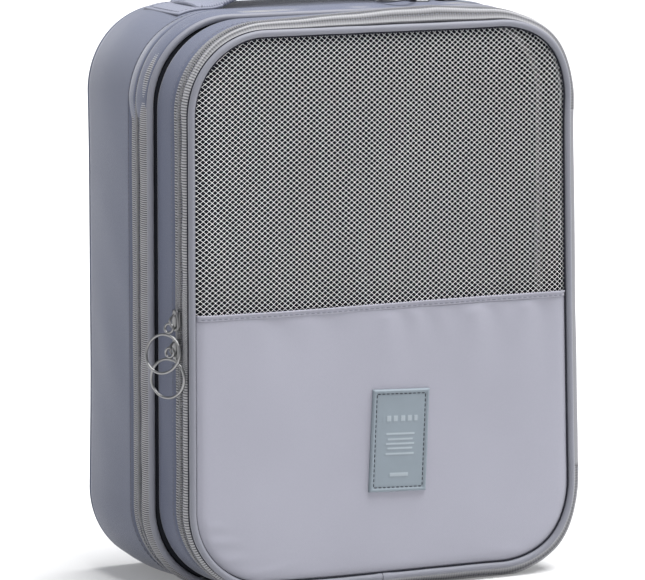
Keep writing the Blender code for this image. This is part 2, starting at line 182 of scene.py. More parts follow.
def cloth(name, colour, pitch=0.55, roughness=0.6, sheen=0.1, mottle=0.05, depth=0.35, gloss=0.3):
    """Woven polyester: fine weave (pitch in mm), soft mottling and a slight satin sheen."""
    material, tree, shader = new_material(name, roughness, sheen=sheen, gloss=gloss)
    coords = tree.nodes.new("ShaderNodeTexCoord")
    broad = noise(tree, coords.outputs["Object"], 14.0, 3.0)
    fine = noise(tree, coords.outputs["Object"], 900.0, 2.0)
    blend = calc(tree, "ADD", calc(tree, "MULTIPLY", broad, 0.7), calc(tree, "MULTIPLY", fine, 0.3))
    tinted(tree, shader, colour, mottle, blend)
    weave = weave_height(tree, pitch * MM)
    height = calc(tree, "ADD", weave, calc(tree, "MULTIPLY", fine, 0.6))
    bumped(tree, shader, height, depth, 0.12 * MM)
    return material


def paint_rib_shade(material):
    """Painted rib shade: darken a cloth's colour in the gaps between its ribs, where shade falls, against its
    lighter crests.
    """
    tree = material.node_tree
    shader = tree.nodes["Principled BSDF"]
    plain = shader.inputs["Base Color"].links[0].from_socket
    level = tree.nodes.new("ShaderNodeAttribute")
    level.attribute_name = "rib"
    ramp = tree.nodes.new("ShaderNodeValToRGB")
    low, high = ramp.color_ramp.elements
    low.position, high.position = 0.1, 0.9
    # painted shade in the rib gaps; the crests keep the cloth's full colour
    low.color = (0.14, 0.14, 0.15, 1.0)
    high.color = (1.0, 1.0, 1.0, 1.0)
    share = calc(tree, "ADD", calc(tree, "MULTIPLY", level.outputs["Fac"], 0.5), 0.5)
    tree.links.new(share, ramp.inputs["Fac"])
    mix = tree.nodes.new("ShaderNodeMix")
    mix.data_type = "RGBA"
    mix.blend_type = "MULTIPLY"
    mix.inputs["Factor"].default_value = 1.0
    tree.links.new(plain, mix.inputs["A"])
    tree.links.new(ramp.outputs["Color"], mix.inputs["B"])
    tree.links.new(mix.outputs["Result"], shader.inputs["Base Color"])
    return material


def solid(name, colour, roughness, metallic=0.0, grain=1500.0, strength=0.15, mottle=0.06):
    """Moulded or metal surface with a fine grain and uneven gloss."""
    material, tree, shader = new_material(name, roughness, metallic)
    coords = tree.nodes.new("ShaderNodeTexCoord")
    fine = noise(tree, coords.outputs["Object"], grain, 3.0)
    broad = noise(tree, coords.outputs["Object"], 120.0, 2.0)
    tinted(tree, shader, colour, mottle, broad)
    gloss = calc(tree, "ADD", calc(tree, "MULTIPLY", fine, 0.16), roughness - 0.08)
    tree.links.new(gloss, shader.inputs["Roughness"])
    bumped(tree, shader, fine, strength, 0.03 * MM)
    return material


SHELL = cloth("shell_cloth", (0.086, 0.097, 0.143), sheen=0.35)
HINGE = cloth("hinge_cloth", (0.195, 0.195, 0.208), pitch=0.7, roughness=0.8)
PANEL = cloth("panel_cloth", (0.274, 0.274, 0.320), roughness=0.5, sheen=0.2)
PIPING = cloth("piping_cloth", (0.172, 0.176, 0.205), pitch=0.45, roughness=0.5)
# near-black lining: a dark lining cloth, darkened further as painted shade for the bag's inside seen through
# the net and in the groove by the middle piping
LINING_AND_INNER_SHADE = cloth("lining_cloth", (0.013, 0.014, 0.018), roughness=0.9, sheen=0.0, gloss=0.05)
# zip tape cloth, with painted shade in the gaps between its ribs
TAPE_WITH_RIB_SHADE = paint_rib_shade(cloth("zip_tape_cloth", (0.345, 0.345, 0.358), pitch=0.55, roughness=0.8, depth=0.6))
BINDING = cloth("binding_cloth", (0.030, 0.031, 0.037), pitch=0.7, roughness=0.8, depth=0.6)
HANDLE = cloth("handle_cloth", (0.178, 0.188, 0.240), roughness=0.5, sheen=0.2)
NET = cloth("net_thread", (0.930, 0.935, 0.945), pitch=0.2, roughness=0.5, depth=0.2)
THREAD = cloth("sewing_thread", (0.150, 0.155, 0.190), pitch=0.15, roughness=0.6, depth=0.5)
# dark thread for stitches, also used for the lines of painted shade in the piping's creases
DARK_THREAD_AND_CREASE_SHADE = cloth("dark_thread", (0.018, 0.019, 0.027), pitch=0.15, roughness=0.8, depth=0.5, gloss=0.1)
NYLON = solid("coil_nylon", (0.220, 0.220, 0.230), 0.42)
METAL = solid("satin_nickel", (0.250, 0.250, 0.252), 0.32, metallic=1.0, grain=4000.0)
CAST = solid("cast_slider", (0.170, 0.170, 0.173), 0.36, metallic=1.0, grain=3000.0)
LABEL = solid("label_moulding", (0.165, 0.198, 0.226), 0.5, mottle=0.03)
LABEL_MARK = solid("label_mark", (0.245, 0.280, 0.305), 0.42, mottle=0.03)


# ------------------------------------------------------------------ mesh building
def circle(count):
    """Evenly spaced angles, once round."""
    return 2.0 * np.pi * np.arange(count) / count


def xyz(x, y, z):
    """Points from coordinates that broadcast together."""
    return np.stack(np.broadcast_arrays(x, y, z), -1)


def smooth(value, low, high):
    """Smooth step from 0 at low to 1 at high."""
    t = np.clip((value - low) / (high - low), 0.0, 1.0)
    return t * t * (3.0 - 2.0 * t)


def bump_at(value, middle, width):
    """Smooth bump of height 1."""
    return np.exp(-((value - middle) / width) ** 2)


def mesh_object(name, verts, faces, finish, uvs=None, closed=True):
    """Link a smooth mesh; uvs has one row for each face corner. A closed mesh is turned to face out."""
    mesh = bpy.data.meshes.new(name)
    mesh.from_pydata(np.asarray(verts).tolist(), [], [tuple(face) for face in faces])
    if uvs is not None:
        layer = mesh.uv_layers.new(name="UVMap")
        layer.data.foreach_set("uv", np.asarray(uvs, np.float32).ravel())
    mesh.materials.append(finish)
    mesh.shade_smooth()
    if closed and signed_volume(np.asarray(verts), mesh) < 0.0:
        mesh.flip_normals()
    piece = bpy.data.objects.new(name, mesh)
    bpy.context.scene.collection.objects.link(piece)
    return piece


def signed_volume(points, mesh):
    """Volume inside a mesh, negative where its faces point in."""
    mesh.calc_loop_triangles()
    corners = np.zeros(len(mesh.loop_triangles) * 3, np.int32)
    mesh.loop_triangles.foreach_get("vertices", corners)
    a, b, c = points[corners.reshape(-1, 3)].transpose(1, 0, 2)
    return float(np.einsum("ij,ij->i", a, np.cross(b, c)).sum()) / 6.0


def second_finish(piece, finish, chosen):
    """Give the chosen ones of a mesh's first faces a second material."""
    piece.data.materials.append(finish)
    marks = np.zeros(len(piece.data.polygons), np.int32)
    marks[:len(chosen)] = chosen
    piece.data.polygons.foreach_set("material_index", marks)


def running(points, axis, wrap):
    """Mean distance walked along one axis of a grid of points, with the closing step if it wraps."""
    if wrap:
        points = np.concatenate([points, np.take(points, [0], axis)], axis)
    steps = np.linalg.norm(np.diff(points, axis=axis), axis=2).mean(axis=1 - axis)
    return np.concatenate([[0.0], np.cumsum(steps)])


def grid_faces(rows, columns, wrap_rows, wrap_columns):
    """Quads of a grid, and the (row, column) of each corner before wrapping."""
    i = np.arange(rows if wrap_rows else rows - 1)
    j = np.arange(columns if wrap_columns else columns - 1)
    i, j = np.meshgrid(i, j, indexing="ij")
    corner_i = np.stack([i, i, i + 1, i + 1], -1).reshape(-1, 4)
    corner_j = np.stack([j, j + 1, j + 1, j], -1).reshape(-1, 4)
    faces = (corner_i % rows) * columns + corner_j % columns
    return faces, corner_i, corner_j


def skin(name, points, finish, wrap_rows=False, wrap_columns=False, caps=False):
    """Mesh over a grid of points (rows, columns, 3), with UVs in metres."""
    points = np.asarray(points, float)
    rows, columns = points.shape[:2]
    faces, corner_i, corner_j = grid_faces(rows, columns, wrap_rows, wrap_columns)
    along_rows = running(points, 0, wrap_rows)
    along_columns = running(points, 1, wrap_columns)
    uvs = np.stack([along_rows[corner_i], along_columns[corner_j]], -1).reshape(-1, 2)
    faces = faces.tolist()
    if caps:
        last = (rows - 1) * columns
        faces += [list(range(columns))[::-1], [last + k for k in range(columns)]]
        ends = [(0.0, v) for v in along_columns[:columns]]
        uvs = np.concatenate([uvs, ends[::-1], ends])
    closed = caps or (wrap_rows and wrap_columns)
    return mesh_object(name, points.reshape(-1, 3), faces, finish, uvs, closed)


def tube_points(path, radii, sides=8, closed=False, flat=1.0, up=None):
    """Rings of points round a path; flat squeezes them along the ring's second axis."""
    path = np.asarray(path, float)
    count = len(path)
    if closed:
        tangents = np.roll(path, -1, 0) - np.roll(path, 1, 0)
    else:
        tangents = np.gradient(path, axis=0)
    tangents /= np.linalg.norm(tangents, axis=1)[:, None]
    side = np.zeros_like(path)
    if up is None:
        guess = np.array([0.31, 0.87, 0.38])
        side[0] = np.cross(tangents[0], guess)
        side[0] /= np.linalg.norm(side[0])
        for k in range(1, count):
            turned = side[k - 1] - tangents[k] * (side[k - 1] @ tangents[k])
            side[k] = turned / np.linalg.norm(turned)
    else:
        side = np.cross(tangents, np.broadcast_to(up, path.shape))
        side /= np.linalg.norm(side, axis=1)[:, None]
    other = np.cross(tangents, side)
    radii = np.broadcast_to(radii, count)[:, None, None]
    turns = circle(sides)
    rings = side[:, None] * np.cos(turns)[None, :, None]
    rings = rings + other[:, None] * np.sin(turns)[None, :, None] * flat
    return path[:, None] + rings * radii


class Batch:
    """Collects many small grids into one mesh."""

    def __init__(self):
        self.verts, self.faces, self.uvs, self.count = [], [], [], 0

    def add(self, points, wrap_rows=False, wrap_columns=True, caps=True):
        """Add one grid of points, capped at its ends."""
        points = np.asarray(points, float)
        rows, columns = points.shape[:2]
        faces, corner_i, corner_j = grid_faces(rows, columns, wrap_rows, wrap_columns)
        u = running(points, 0, wrap_rows)[corner_i]
        v = running(points, 1, wrap_columns)[corner_j]
        self.uvs.append(np.stack([u, v], -1).reshape(-1, 2))
        self.faces += (faces + self.count).tolist()
        if caps and not wrap_rows:
            last = self.count + (rows - 1) * columns
            self.faces += [[self.count + k for k in range(columns)][::-1]]
            self.faces += [[last + k for k in range(columns)]]
            self.uvs.append(np.zeros((2 * columns, 2)))
        self.verts.append(points.reshape(-1, 3))
        self.count += rows * columns

    def make(self, name, finish):
        """Link what was collected as one piece."""
        return mesh_object(name, np.concatenate(self.verts), self.faces, finish, np.concatenate(self.uvs))


# ------------------------------------------------------------------ outlines
def perimeter(outline):
    """Length once round an outline."""
    half, bottom, top, radius = outline
    return 4.0 * (half - radius) + 2.0 * (top - bottom - 2.0 * radius) + 2.0 * math.pi * radius


def along(outline, s):
    """Points and outward normals at lengths s round an outline.

    0 is the middle of the hinge side; s runs up, over the top, down the left and back along the floor.
    """
    half, bottom, top, radius = outline
    core, high, low = half - radius, top - radius, bottom + radius
    middle, quarter = (top + bottom) / 2.0, math.pi * radius / 2.0
    side, flat = high - middle, 2.0 * core
    legs = [
        ((half, middle), 90, side, False), ((core, high), 0, quarter, True),
        ((core, top), 180, flat, False), ((-core, high), 90, quarter, True),
        ((-half, high), 270, 2.0 * side, False), ((-core, low), 180, quarter, True),
        ((-core, bottom), 0, flat, False), ((core, low), 270, quarter, True),
        ((half, low), 90, side, False),
    ]
    s = np.mod(np.asarray(s, float), perimeter(outline))
    points, normals = np.zeros((len(s), 2)), np.zeros((len(s), 2))
    begin = 0.0
    for (x, z), degrees, length, is_arc in legs:
        inside = (s >= begin) & (s <= begin + length + 1e-9)
        step = s[inside] - begin
        if is_arc:
            turn = math.radians(degrees) + step / radius
            normals[inside] = np.stack([np.cos(turn), np.sin(turn)], -1)
            points[inside] = np.array([x, z]) + normals[inside] * radius
        else:
            heading = math.radians(degrees)
            way = np.array([math.cos(heading), math.sin(heading)])
            points[inside] = np.array([x, z]) + way * step[:, None]
            normals[inside] = [way[1], -way[0]]
        begin += length
    return points, normals


def zip_span(outline):
    """First and last length of the run that a zip takes round three sides."""
    half, bottom, top, radius = outline
    side = (top - bottom) / 2.0 - radius - ZIP_END_RISE
    return side, perimeter(outline) - side


def stations(span, spacing):
    """Evenly spaced lengths over a span, both ends included."""
    return np.linspace(span[0], span[1], max(2, int(round((span[1] - span[0]) / spacing)) + 1))


def rail(outline, s, out, y):
    """Points (len(s), columns, 3): out is measured outward from the outline, y is the depth."""
    points, normals = along(outline, s)
    out = np.broadcast_to(out, (len(s), np.shape(out)[-1]))
    y = np.broadcast_to(y, out.shape)
    x = points[:, 0, None] + normals[:, 0, None] * out
    z = points[:, 1, None] + normals[:, 1, None] * out
    z = z + np.maximum(FLOOR_CLEAR - z.min(axis=1, keepdims=True), 0.0)
    return np.stack([x, y, z], -1)


# How far the front case's wall stands out behind the front piping, in mm, at lengths round FRONT:
# nothing on the left, most at the top and on the hinge side.
FLARE_AT = (0.0, 0.106, 0.142, 0.16, 0.18, 0.213, 0.24, 0.267, 0.317, 0.352, 0.388, 0.43, 0.58, 0.66,
            0.76, 0.846, 0.881, 0.987)
FLARE = (4.6, 4.4, 3.2, 3.0, 5.0, 7.2, 6.4, 5.0, 2.6, 1.0, 0.2, 0.0, 0.0, 0.8, 4.4, 5.6, 5.0, 4.6)
FLARE_START_Y = FRONT_PIPING_Y + 1.2 * MM
FLARE_RUN = 4.5 * MM
GUSSET_SPREAD = 3.8 * MM


def flare(s, y):
    """Outward shift of the front zip and gusset: it grows behind the piping and dies at the divider."""
    amount = np.interp(np.mod(s, perimeter(FRONT)), FLARE_AT, FLARE) * MM
    rise = smooth(y, FLARE_START_Y, FLARE_START_Y + FLARE_RUN)
    fall = np.clip((y - FRONT_LO.y) / (FRONT_HI.y - FRONT_LO.y), 0.0, 1.0)
    return amount * rise * (1.0 - fall ** 1.5) + GUSSET_SPREAD * fall ** 2


def walled(curve, wall):
    """Closed section: an (out, y) curve and the same curve moved in by wall."""
    curve = np.asarray(curve, float)
    tangents = np.gradient(curve, axis=0)
    tangents /= np.linalg.norm(tangents, axis=1)[:, None]
    inward = np.stack([-np.abs(tangents[:, 1]), tangents[:, 0] * np.sign(tangents[:, 1] + 1e-12)], -1)
    return np.concatenate([curve, (curve + inward * wall)[::-1]])


def ripples(seed, amplitude, wave_s, wave_y=0.03, count=7):
    """Gentle random waves for cloth, as a function of length s and depth y."""
    dice = np.random.default_rng(seed)
    parts = []
    for _ in range(count):
        parts.append((dice.uniform(0.5, 1.5) / wave_s, dice.uniform(-1.0, 1.0) / wave_y,
                      dice.uniform(0.0, 2.0 * np.pi), dice.uniform(0.4, 1.0)))
    total = sum(part[3] for part in parts)

    def height(s, y):
        value = 0.0
        for turn_s, turn_y, phase, weight in parts:
            value = value + weight * np.sin(2.0 * np.pi * (turn_s * s + turn_y * y) + phase)
        return amplitude * value / total
    return height


def band(name, outline, span, section, finish, spacing=1.5, swell=None, inner=None):
    """A strip of cloth with a closed (out, y) section, carried along an outline.

    span None goes all the way round. swell(s, y, out) moves points outward.
    inner is the finish of the second half of the section, which faces into the bag.
    """
    whole = span is None
    span = (0.0, perimeter(outline)) if whole else span
    s = stations(span, spacing * MM)
    if whole:
        s = s[:-1]
    out, y = section[None, :, 0], section[None, :, 1]
    if swell:
        out = out + swell(s[:, None], y, out)
    piece = skin(name, rail(outline, s, out, y), finish, whole, True, not whole)
    if inner:
        column = np.tile(np.arange(len(section)), len(s) if whole else len(s) - 1)
        second_finish(piece, inner, column >= len(section) // 2 - 1)
    return piece


# Shape of one stitch: share of its length, height and thickness in radii
STITCH_AT = np.array([0.0, 0.12, 0.5, 0.88, 1.0])
STITCH_RISE = np.array([-0.9, 0.35, 1.0, 0.35, -0.9])
STITCH_THICK = np.array([0.55, 0.95, 1.0, 0.95, 0.55])


def stitches(batch, path, ups, pitch=3.2, share=0.72, radius=0.23, sink=0.12):
    """Add dashes of thread along a dense path; ups point out of the cloth. Sizes in mm."""
    path, ups = np.asarray(path, float), np.asarray(ups, float)
    walked = np.concatenate([[0.0], np.cumsum(np.linalg.norm(np.diff(path, axis=0), axis=1))])
    total = walked[-1]
    count = max(1, int(total / (pitch * MM)))
    step = total / count
    rise = STITCH_RISE * radius * MM - sink * MM
    for k in range(count):
        at = (k + 0.5) * step + (STITCH_AT - 0.5) * step * share
        middle, up = (np.stack([np.interp(at, walked, rows[:, a]) for a in range(3)], -1)
                      for rows in (path, ups))
        batch.add(tube_points(middle + up * rise[:, None], STITCH_THICK * radius * MM, 6))


# ------------------------------------------------------------------ panels
def half_width(outline, inset, z):
    """Half width of an outline, moved in by inset, at height z."""
    half, bottom, top, radius = outline
    arc = radius - inset
    over = np.maximum(z - (top - radius), (bottom + radius) - z)
    over = np.clip(over, 0.0, arc)
    return half - radius + np.sqrt(np.maximum(arc ** 2 - over ** 2, 0.0))


def panel_rows(outline, inset, low, high, spacing):
    """Heights of a panel's rows: even on the straights, even in angle round the corners."""
    _, bottom, top, radius = outline
    arc = radius - inset
    turns = np.linspace(0.0, np.pi / 2.0, max(4, int(arc * 1.57 / spacing)))
    rows = [bottom + radius - arc * np.cos(turns), top - radius + arc * np.sin(turns)]
    straight = np.arange(bottom + radius + spacing, top - radius - spacing / 2.0, spacing)
    z = np.unique(np.round(np.concatenate(rows + [straight, [low, high]]), 7))
    return z[(z >= low - 1e-9) & (z <= high + 1e-9)]


def panel_grid(outline, inset, low, high, spacing=2.5 * MM):
    """X and Z of a grid of points that fills an outline between two heights."""
    z = panel_rows(outline, inset, low, high, spacing)
    across = np.linspace(-1.0, 1.0, int(2.0 * outline[0] / spacing) | 1)
    return half_width(outline, inset, z)[:, None] * across, np.tile(z[:, None], (1, len(across)))


def edge_distance(outline, inset, x, z):
    """Distance from (x, z) in to the outline moved in by inset."""
    half, bottom, top, radius = outline
    core_x, core_z = half - radius, (top - bottom) / 2.0 - radius
    over_x = np.abs(x) - core_x
    over_z = np.abs(z - (top + bottom) / 2.0) - core_z
    outside = np.hypot(np.maximum(over_x, 0.0), np.maximum(over_z, 0.0))
    return radius - inset - outside - np.minimum(np.maximum(over_x, over_z), 0.0)


def slab(name, x, z, front, back, finish, back_finish=None):
    """Closed panel between two height fields over the same grid."""
    rows, columns = x.shape
    top, under = xyz(x, front, z).reshape(-1, 3), xyz(x, back, z).reshape(-1, 3)
    faces, corner_i, corner_j = grid_faces(rows, columns, False, False)
    flat = np.stack([x[corner_i, corner_j], z[corner_i, corner_j]], -1).reshape(-1, 2)
    count = rows * columns
    turned = faces[:, ::-1] + count
    rim = list(range(columns)) + [r * columns + columns - 1 for r in range(1, rows)]
    rim += [(rows - 1) * columns + c for c in range(columns - 2, -1, -1)]
    rim += [r * columns for r in range(rows - 2, 0, -1)]
    rim = np.array(rim)
    after = np.roll(rim, -1)
    sides = np.stack([after, rim, rim + count, after + count], -1)
    walked = np.concatenate([[0.0], np.cumsum(np.linalg.norm(top[after] - top[rim], axis=1))])
    deep = float(np.abs(back - front).mean())
    side_uv = np.stack([
        np.stack([walked[1:], 0 * rim], -1), np.stack([walked[:-1], 0 * rim], -1),
        np.stack([walked[:-1], 0 * rim + deep], -1), np.stack([walked[1:], 0 * rim + deep], -1)], 1)
    uvs = np.concatenate([flat, flat.reshape(-1, 4, 2)[:, ::-1].reshape(-1, 2), side_uv.reshape(-1, 2)])
    every = faces.tolist() + turned.tolist() + sides.tolist()
    piece = mesh_object(name, np.concatenate([top, under]), every, finish, uvs)
    if back_finish:
        second_finish(piece, back_finish, np.arange(2 * len(faces)) >= len(faces))
    return piece


def place(piece, body, *nodes):
    """Ride on a body and stand for CAD nodes."""
    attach(piece, body)
    if nodes:
        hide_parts(*nodes)
    return piece


# ------------------------------------------------------------------ gussets, bindings and pipings
def rolled_curve(front_y, back_y, crown, drop, count=18):
    """(out, y) curve of a band whose long edges turn down into their seams."""
    t = (1.0 - np.cos(np.linspace(0.0, np.pi, count))) / 2.0
    y = front_y + (back_y - front_y) * t
    reach = np.minimum(y - front_y, back_y - y)
    fall = np.exp(-(reach / (1.1 * MM)) ** 1.3)
    return np.stack([crown * np.sin(np.pi * t) - drop * fall, y], -1)


def gusset(name, body, outline, front_y, back_y, crown, seed, nodes):
    """Side wall of a case: a cloth band with rolled seams and slack between them."""
    wave = ripples(seed, 0.5 * MM, 0.075, 0.05)

    def swell(s, y, out):
        t = (y - front_y) / (back_y - front_y)
        slack = wave(s, y) * np.clip(np.sin(np.pi * np.clip(t, 0.0, 1.0)), 0.0, 1.0)
        return slack + (flare(s, y) if outline is FRONT else 0.0)

    section = walled(rolled_curve(front_y, back_y, crown, 1.1 * MM), 1.3 * MM)
    piece = band(name, outline, None, section, SHELL, 2.0, swell, LINING_AND_INNER_SHADE)
    return place(piece, body, *nodes)


def binding(name, body, outline, depth, node):
    """Woven tape folded over a seam inside the bag, with a rounded fold."""
    front_y, back_y = (corner.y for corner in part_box(node))
    t = np.linspace(0.0, np.pi, 9)
    fold = 0.45 * MM * np.sin(t)
    y = front_y + (back_y - front_y) * (1.0 - np.cos(t)) / 2.0
    curve = np.stack([-depth - fold * 0.4, y], -1)
    section = np.concatenate([curve, np.stack([-depth - 0.9 * MM - fold, y], -1)[::-1]])
    wave = ripples(len(name), 0.12 * MM, 0.02)
    piece = band(name, outline, None, section, BINDING, 3.0, lambda s, y, out: wave(s, y))
    return place(piece, body, node)


def piping(name, body, outline, inset, y, node):
    """Corded edge: cloth wrapped round a cord, its ends lapped at the middle of the bottom."""
    s = stations((0.0, perimeter(outline)), 1.6 * MM)[:-1]
    bottom = perimeter(outline) / 2.0 + (outline[2] - outline[1]) / 2.0 - outline[3]
    bottom += math.pi * outline[3] / 2.0 + outline[0] - outline[3]
    lap = 1.0 + 0.16 / (1.0 + ((s - bottom) / (5.0 * MM)) ** 6)
    wave = ripples(len(name) + 3, 0.05, 0.03)
    radius = PIPING_RADIUS * lap * (1.0 + wave(s, 0.0))
    turns = circle(14)
    out = -inset + radius[:, None] * np.cos(turns)
    deep = y + radius[:, None] * np.sin(turns)
    piece = skin(name, rail(outline, s, out, deep), PIPING, True, True)
    return place(piece, body, node)


# ------------------------------------------------------------------ zips
# Length round REAR where the rear sliders meet, on the top, and the run that the shell cloth covers
REAR_MEET = zip_span(REAR)[0] + ZIP_END_RISE + math.pi * REAR_RADIUS / 2.0 + REAR[0] - REAR_RADIUS
REAR_MEET -= (PIVOTS["rear_left_pull_hinge"].x + PIVOTS["rear_right_pull_hinge"].x) / 2.0
FLAP_SPAN = (0.110, 0.425)
TOOTH_PITCH = 1.25 * MM
RIB_PITCH = 1.15 * MM
FRONT_RIB_PITCH = 1.5 * MM
LINE_PITCH = 2.0 * MM


def rib_wave(outline, s, y, zip_y, edge_y, slider_at, bias):
    """Ribs of a tape, -1 in the gaps and 1 on the crests.

    They run across it on the left side and fan out beside the sliders; elsewhere they fade into
    lengthwise lines.
    """
    around = np.mod(s, perimeter(outline)) / perimeter(outline)
    left = smooth(around, 0.34, 0.39) * (1.0 - smooth(around, 0.63, 0.68))
    pull = sum(bump_at(s, at, 11.0 * MM) for at in slider_at)
    phase = s - 1.3 * pull * np.abs(y - zip_y) * np.sign(s - np.mean(slider_at))
    pitch = FRONT_RIB_PITCH if outline is FRONT else RIB_PITCH
    across = np.tanh(2.4 * (np.sin(2.0 * np.pi * phase / pitch) + bias))
    lines = np.sin(2.0 * np.pi * (y - edge_y) / LINE_PITCH)
    return across * (0.15 + 0.85 * left) + lines * 0.7 * (1.0 - left)


def tape(name, body, outline, edge_y, zip_y, belly, slider_at, bias, node):
    """Half of a zip's cloth tape, ribbed across, from its seam at edge_y to the coil."""
    side = 1.0 if edge_y > zip_y else -1.0
    near = zip_y + side * 1.9 * MM
    low, high = min(near, edge_y), max(near, edge_y)
    t = np.linspace(0.0, 1.0, 13)
    y = low + (high - low) * t
    from_seam = np.abs(y - edge_y)
    out = belly * np.sin(np.pi * t) - 0.9 * MM * np.exp(-(from_seam / (0.9 * MM)) ** 1.5)
    section = walled(np.stack([out, y], -1), 0.8 * MM)
    wave = ripples(len(name) * 5, 1.0, 0.11)
    loose = ripples(len(name) * 7, 0.35 * MM, 0.05)

    def swell(s, y, out):
        rib = rib_wave(outline, s, y, zip_y, edge_y, slider_at, bias)
        fade = np.clip(np.abs(y - edge_y) / (1.6 * MM), 0.0, 1.0)
        depth = 0.15 * MM * (0.75 + 0.45 * wave(s, y))
        spread = flare(s, y) if outline is FRONT else 0.0
        return depth * rib * fade + loose(s, 0.0) * fade + spread

    piece = band(name, outline, zip_span(outline), section, TAPE_WITH_RIB_SHADE, 0.29, swell)
    # the rib level is stored on the points for the tape's painted shade in its rib gaps
    s = stations(zip_span(outline), 0.29 * MM)[:, None]
    level = rib_wave(outline, s, section[None, :, 1], zip_y, edge_y, slider_at, bias)
    layer = piece.data.attributes.new("rib", "FLOAT", "POINT")
    layer.data.foreach_set("value", level.astype(np.float32).ravel())
    return place(piece, body, node)


# One loop of a coil: how far it lies from the meeting plane, its height and its thickness, in mm
LOOP_ACROSS = np.array([2.35, 1.9, 1.15, 0.35, -0.2, -0.25, 0.4, 1.6])
LOOP_RISE = np.array([-0.15, 0.75, 1.15, 1.15, 0.8, 0.15, -0.25, -0.45])
LOOP_THICK = np.array([0.33, 0.36, 0.37, 0.4, 0.44, 0.4, 0.3, 0.28])


def coil(name, body, outline, zip_y, side, node):
    """One half of a zip's coil: rounded nylon loops whose heads pass the meeting plane."""
    first, last = zip_span(outline)
    first, last = first + 1.0 * MM, last - 1.0 * MM
    count = int((last - first) / TOOTH_PITCH)
    offset = 0.25 if side > 0 else 0.75
    across, rise, thick = LOOP_ACROSS * MM * side, LOOP_RISE * MM, LOOP_THICK * MM
    batch = Batch()
    middles = first + (np.arange(count) + offset) * TOOTH_PITCH
    points, normals = along(outline, middles)
    if outline is FRONT:
        points = points + normals * flare(middles, zip_y)[:, None]
    cosines, sines = (wave(circle(5))[None, :, None] for wave in (np.cos, np.sin))
    for (x, z), (nx, nz) in zip(points, normals):
        path = xyz(x + nx * rise, zip_y + across, z + nz * rise)
        way = np.array([-nz, 0.0, nx])
        tangent = np.gradient(path, axis=0)
        tangent /= np.linalg.norm(tangent, axis=1)[:, None]
        rings = way[None, None] * cosines + np.cross(way, tangent)[:, None] * sines
        batch.add(path[:, None] + rings * thick[:, None, None])
    place(batch.make(name, NYLON), body, node)


def seam_stitches(name, body, outline, span, out, y, thread, pitch=3.0, radius=0.23):
    """A line of stitches along an outline at one depth."""
    s = stations(span if span else (0.0, perimeter(outline)), 1.0 * MM)
    shift = flare(s, y)[:, None] if outline is FRONT else 0.0
    path = rail(outline, s, np.array([out]) + shift, np.array([y]))[:, 0]
    path[:, 2] = np.maximum(path[:, 2], STITCH_CLEAR)
    normals = along(outline, s)[1]
    batch = Batch()
    stitches(batch, path, xyz(normals[:, 0], 0.0, normals[:, 1]), pitch, 0.7, radius)
    return place(batch.make(name, thread), body)


def build_stops(prefix, outline, zip_y):
    """Rounded end stops, pressed over the fixed tape where the coil ends."""
    first, last = zip_span(outline)
    body = "front_case" if outline is FRONT else "rear_case"
    turns = circle(14)
    for side, s in (("upper", first + 4.2 * MM), ("lower", last - 4.2 * MM)):
        (point,), (normal,) = along(outline, [s])
        shift = float(flare(s, zip_y)) if outline is FRONT else 0.0
        x, z = point + normal * (shift + 0.35 * MM)
        rings = []
        for level in (-1.0, -0.86, -0.5, 0.5, 0.86, 1.0):
            scale = 1.0 - 0.75 * abs(level) ** 6
            rings.append(xyz(x + 1.15 * MM * scale * np.cos(turns),
                             zip_y + 1.45 * MM + 0.95 * MM * scale * np.sin(turns), z + 1.35 * MM * level))
        stop = skin(f"{prefix}_{side}_stop_clamp", np.array(rings), METAL, False, True, True)
        place(stop, body, f"{prefix}_zip_{side}_stop")


def hinge_strip(name, outline, node):
    """Doubled cloth hinge on the right-hand side, baked in place and attached to no body."""
    front_y, back_y = (corner.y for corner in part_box(node))
    rise = (outline[2] - outline[1]) / 2.0 - outline[3] - ZIP_END_RISE
    section = walled(rolled_curve(front_y, back_y, 1.3 * MM, 0.6 * MM, 22), 1.0 * MM)
    wave = ripples(len(name), 0.25 * MM, 0.06)

    def swell(s, y, out):
        return wave(s, y) + (flare(s, y) if outline is FRONT else 0.0)

    piece = band(name, outline, (-rise, rise), section, HINGE, 2.0, swell, LINING_AND_INNER_SHADE)
    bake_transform(piece)
    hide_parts(node)


def zip_flap(name, body, zip_y, seam_y, seam_out):
    """Edge of the shell cloth that rolls over the rear zip along the top and closes to a slit."""
    side = 1.0 if seam_y > zip_y else -1.0
    t = np.linspace(0.0, 1.0, 10)
    y = zip_y + side * 0.35 * MM + (seam_y - zip_y - side * 0.35 * MM) * t
    out = seam_out + (2.0 * MM - seam_out) * (1.0 - t ** 2.2) - 0.5 * MM * np.exp(-(t / 0.05) ** 2)
    under = out - (0.3 + 0.6 * t) * MM
    section = np.concatenate([np.stack([out, y], -1), np.stack([under, y], -1)[::-1]])
    first, last = FLAP_SPAN
    wave = ripples(len(name) * 3, 0.25 * MM, 0.05)

    def swell(s, y, out):
        ends = np.clip((s - first) / (14.0 * MM), 0.0, 1.0) * np.clip((last - s) / (20.0 * MM), 0.0, 1.0)
        return 4.5 * MM * (ends ** 0.5 - 1.0) + wave(s, y) * ends

    piece = band(name, REAR, FLAP_SPAN, section, SHELL, 1.5, swell)
    return place(piece, body)


def vertex_points(mesh):
    """A mesh's vertices as an array."""
    return np.array([vertex.co for vertex in mesh.vertices], float)


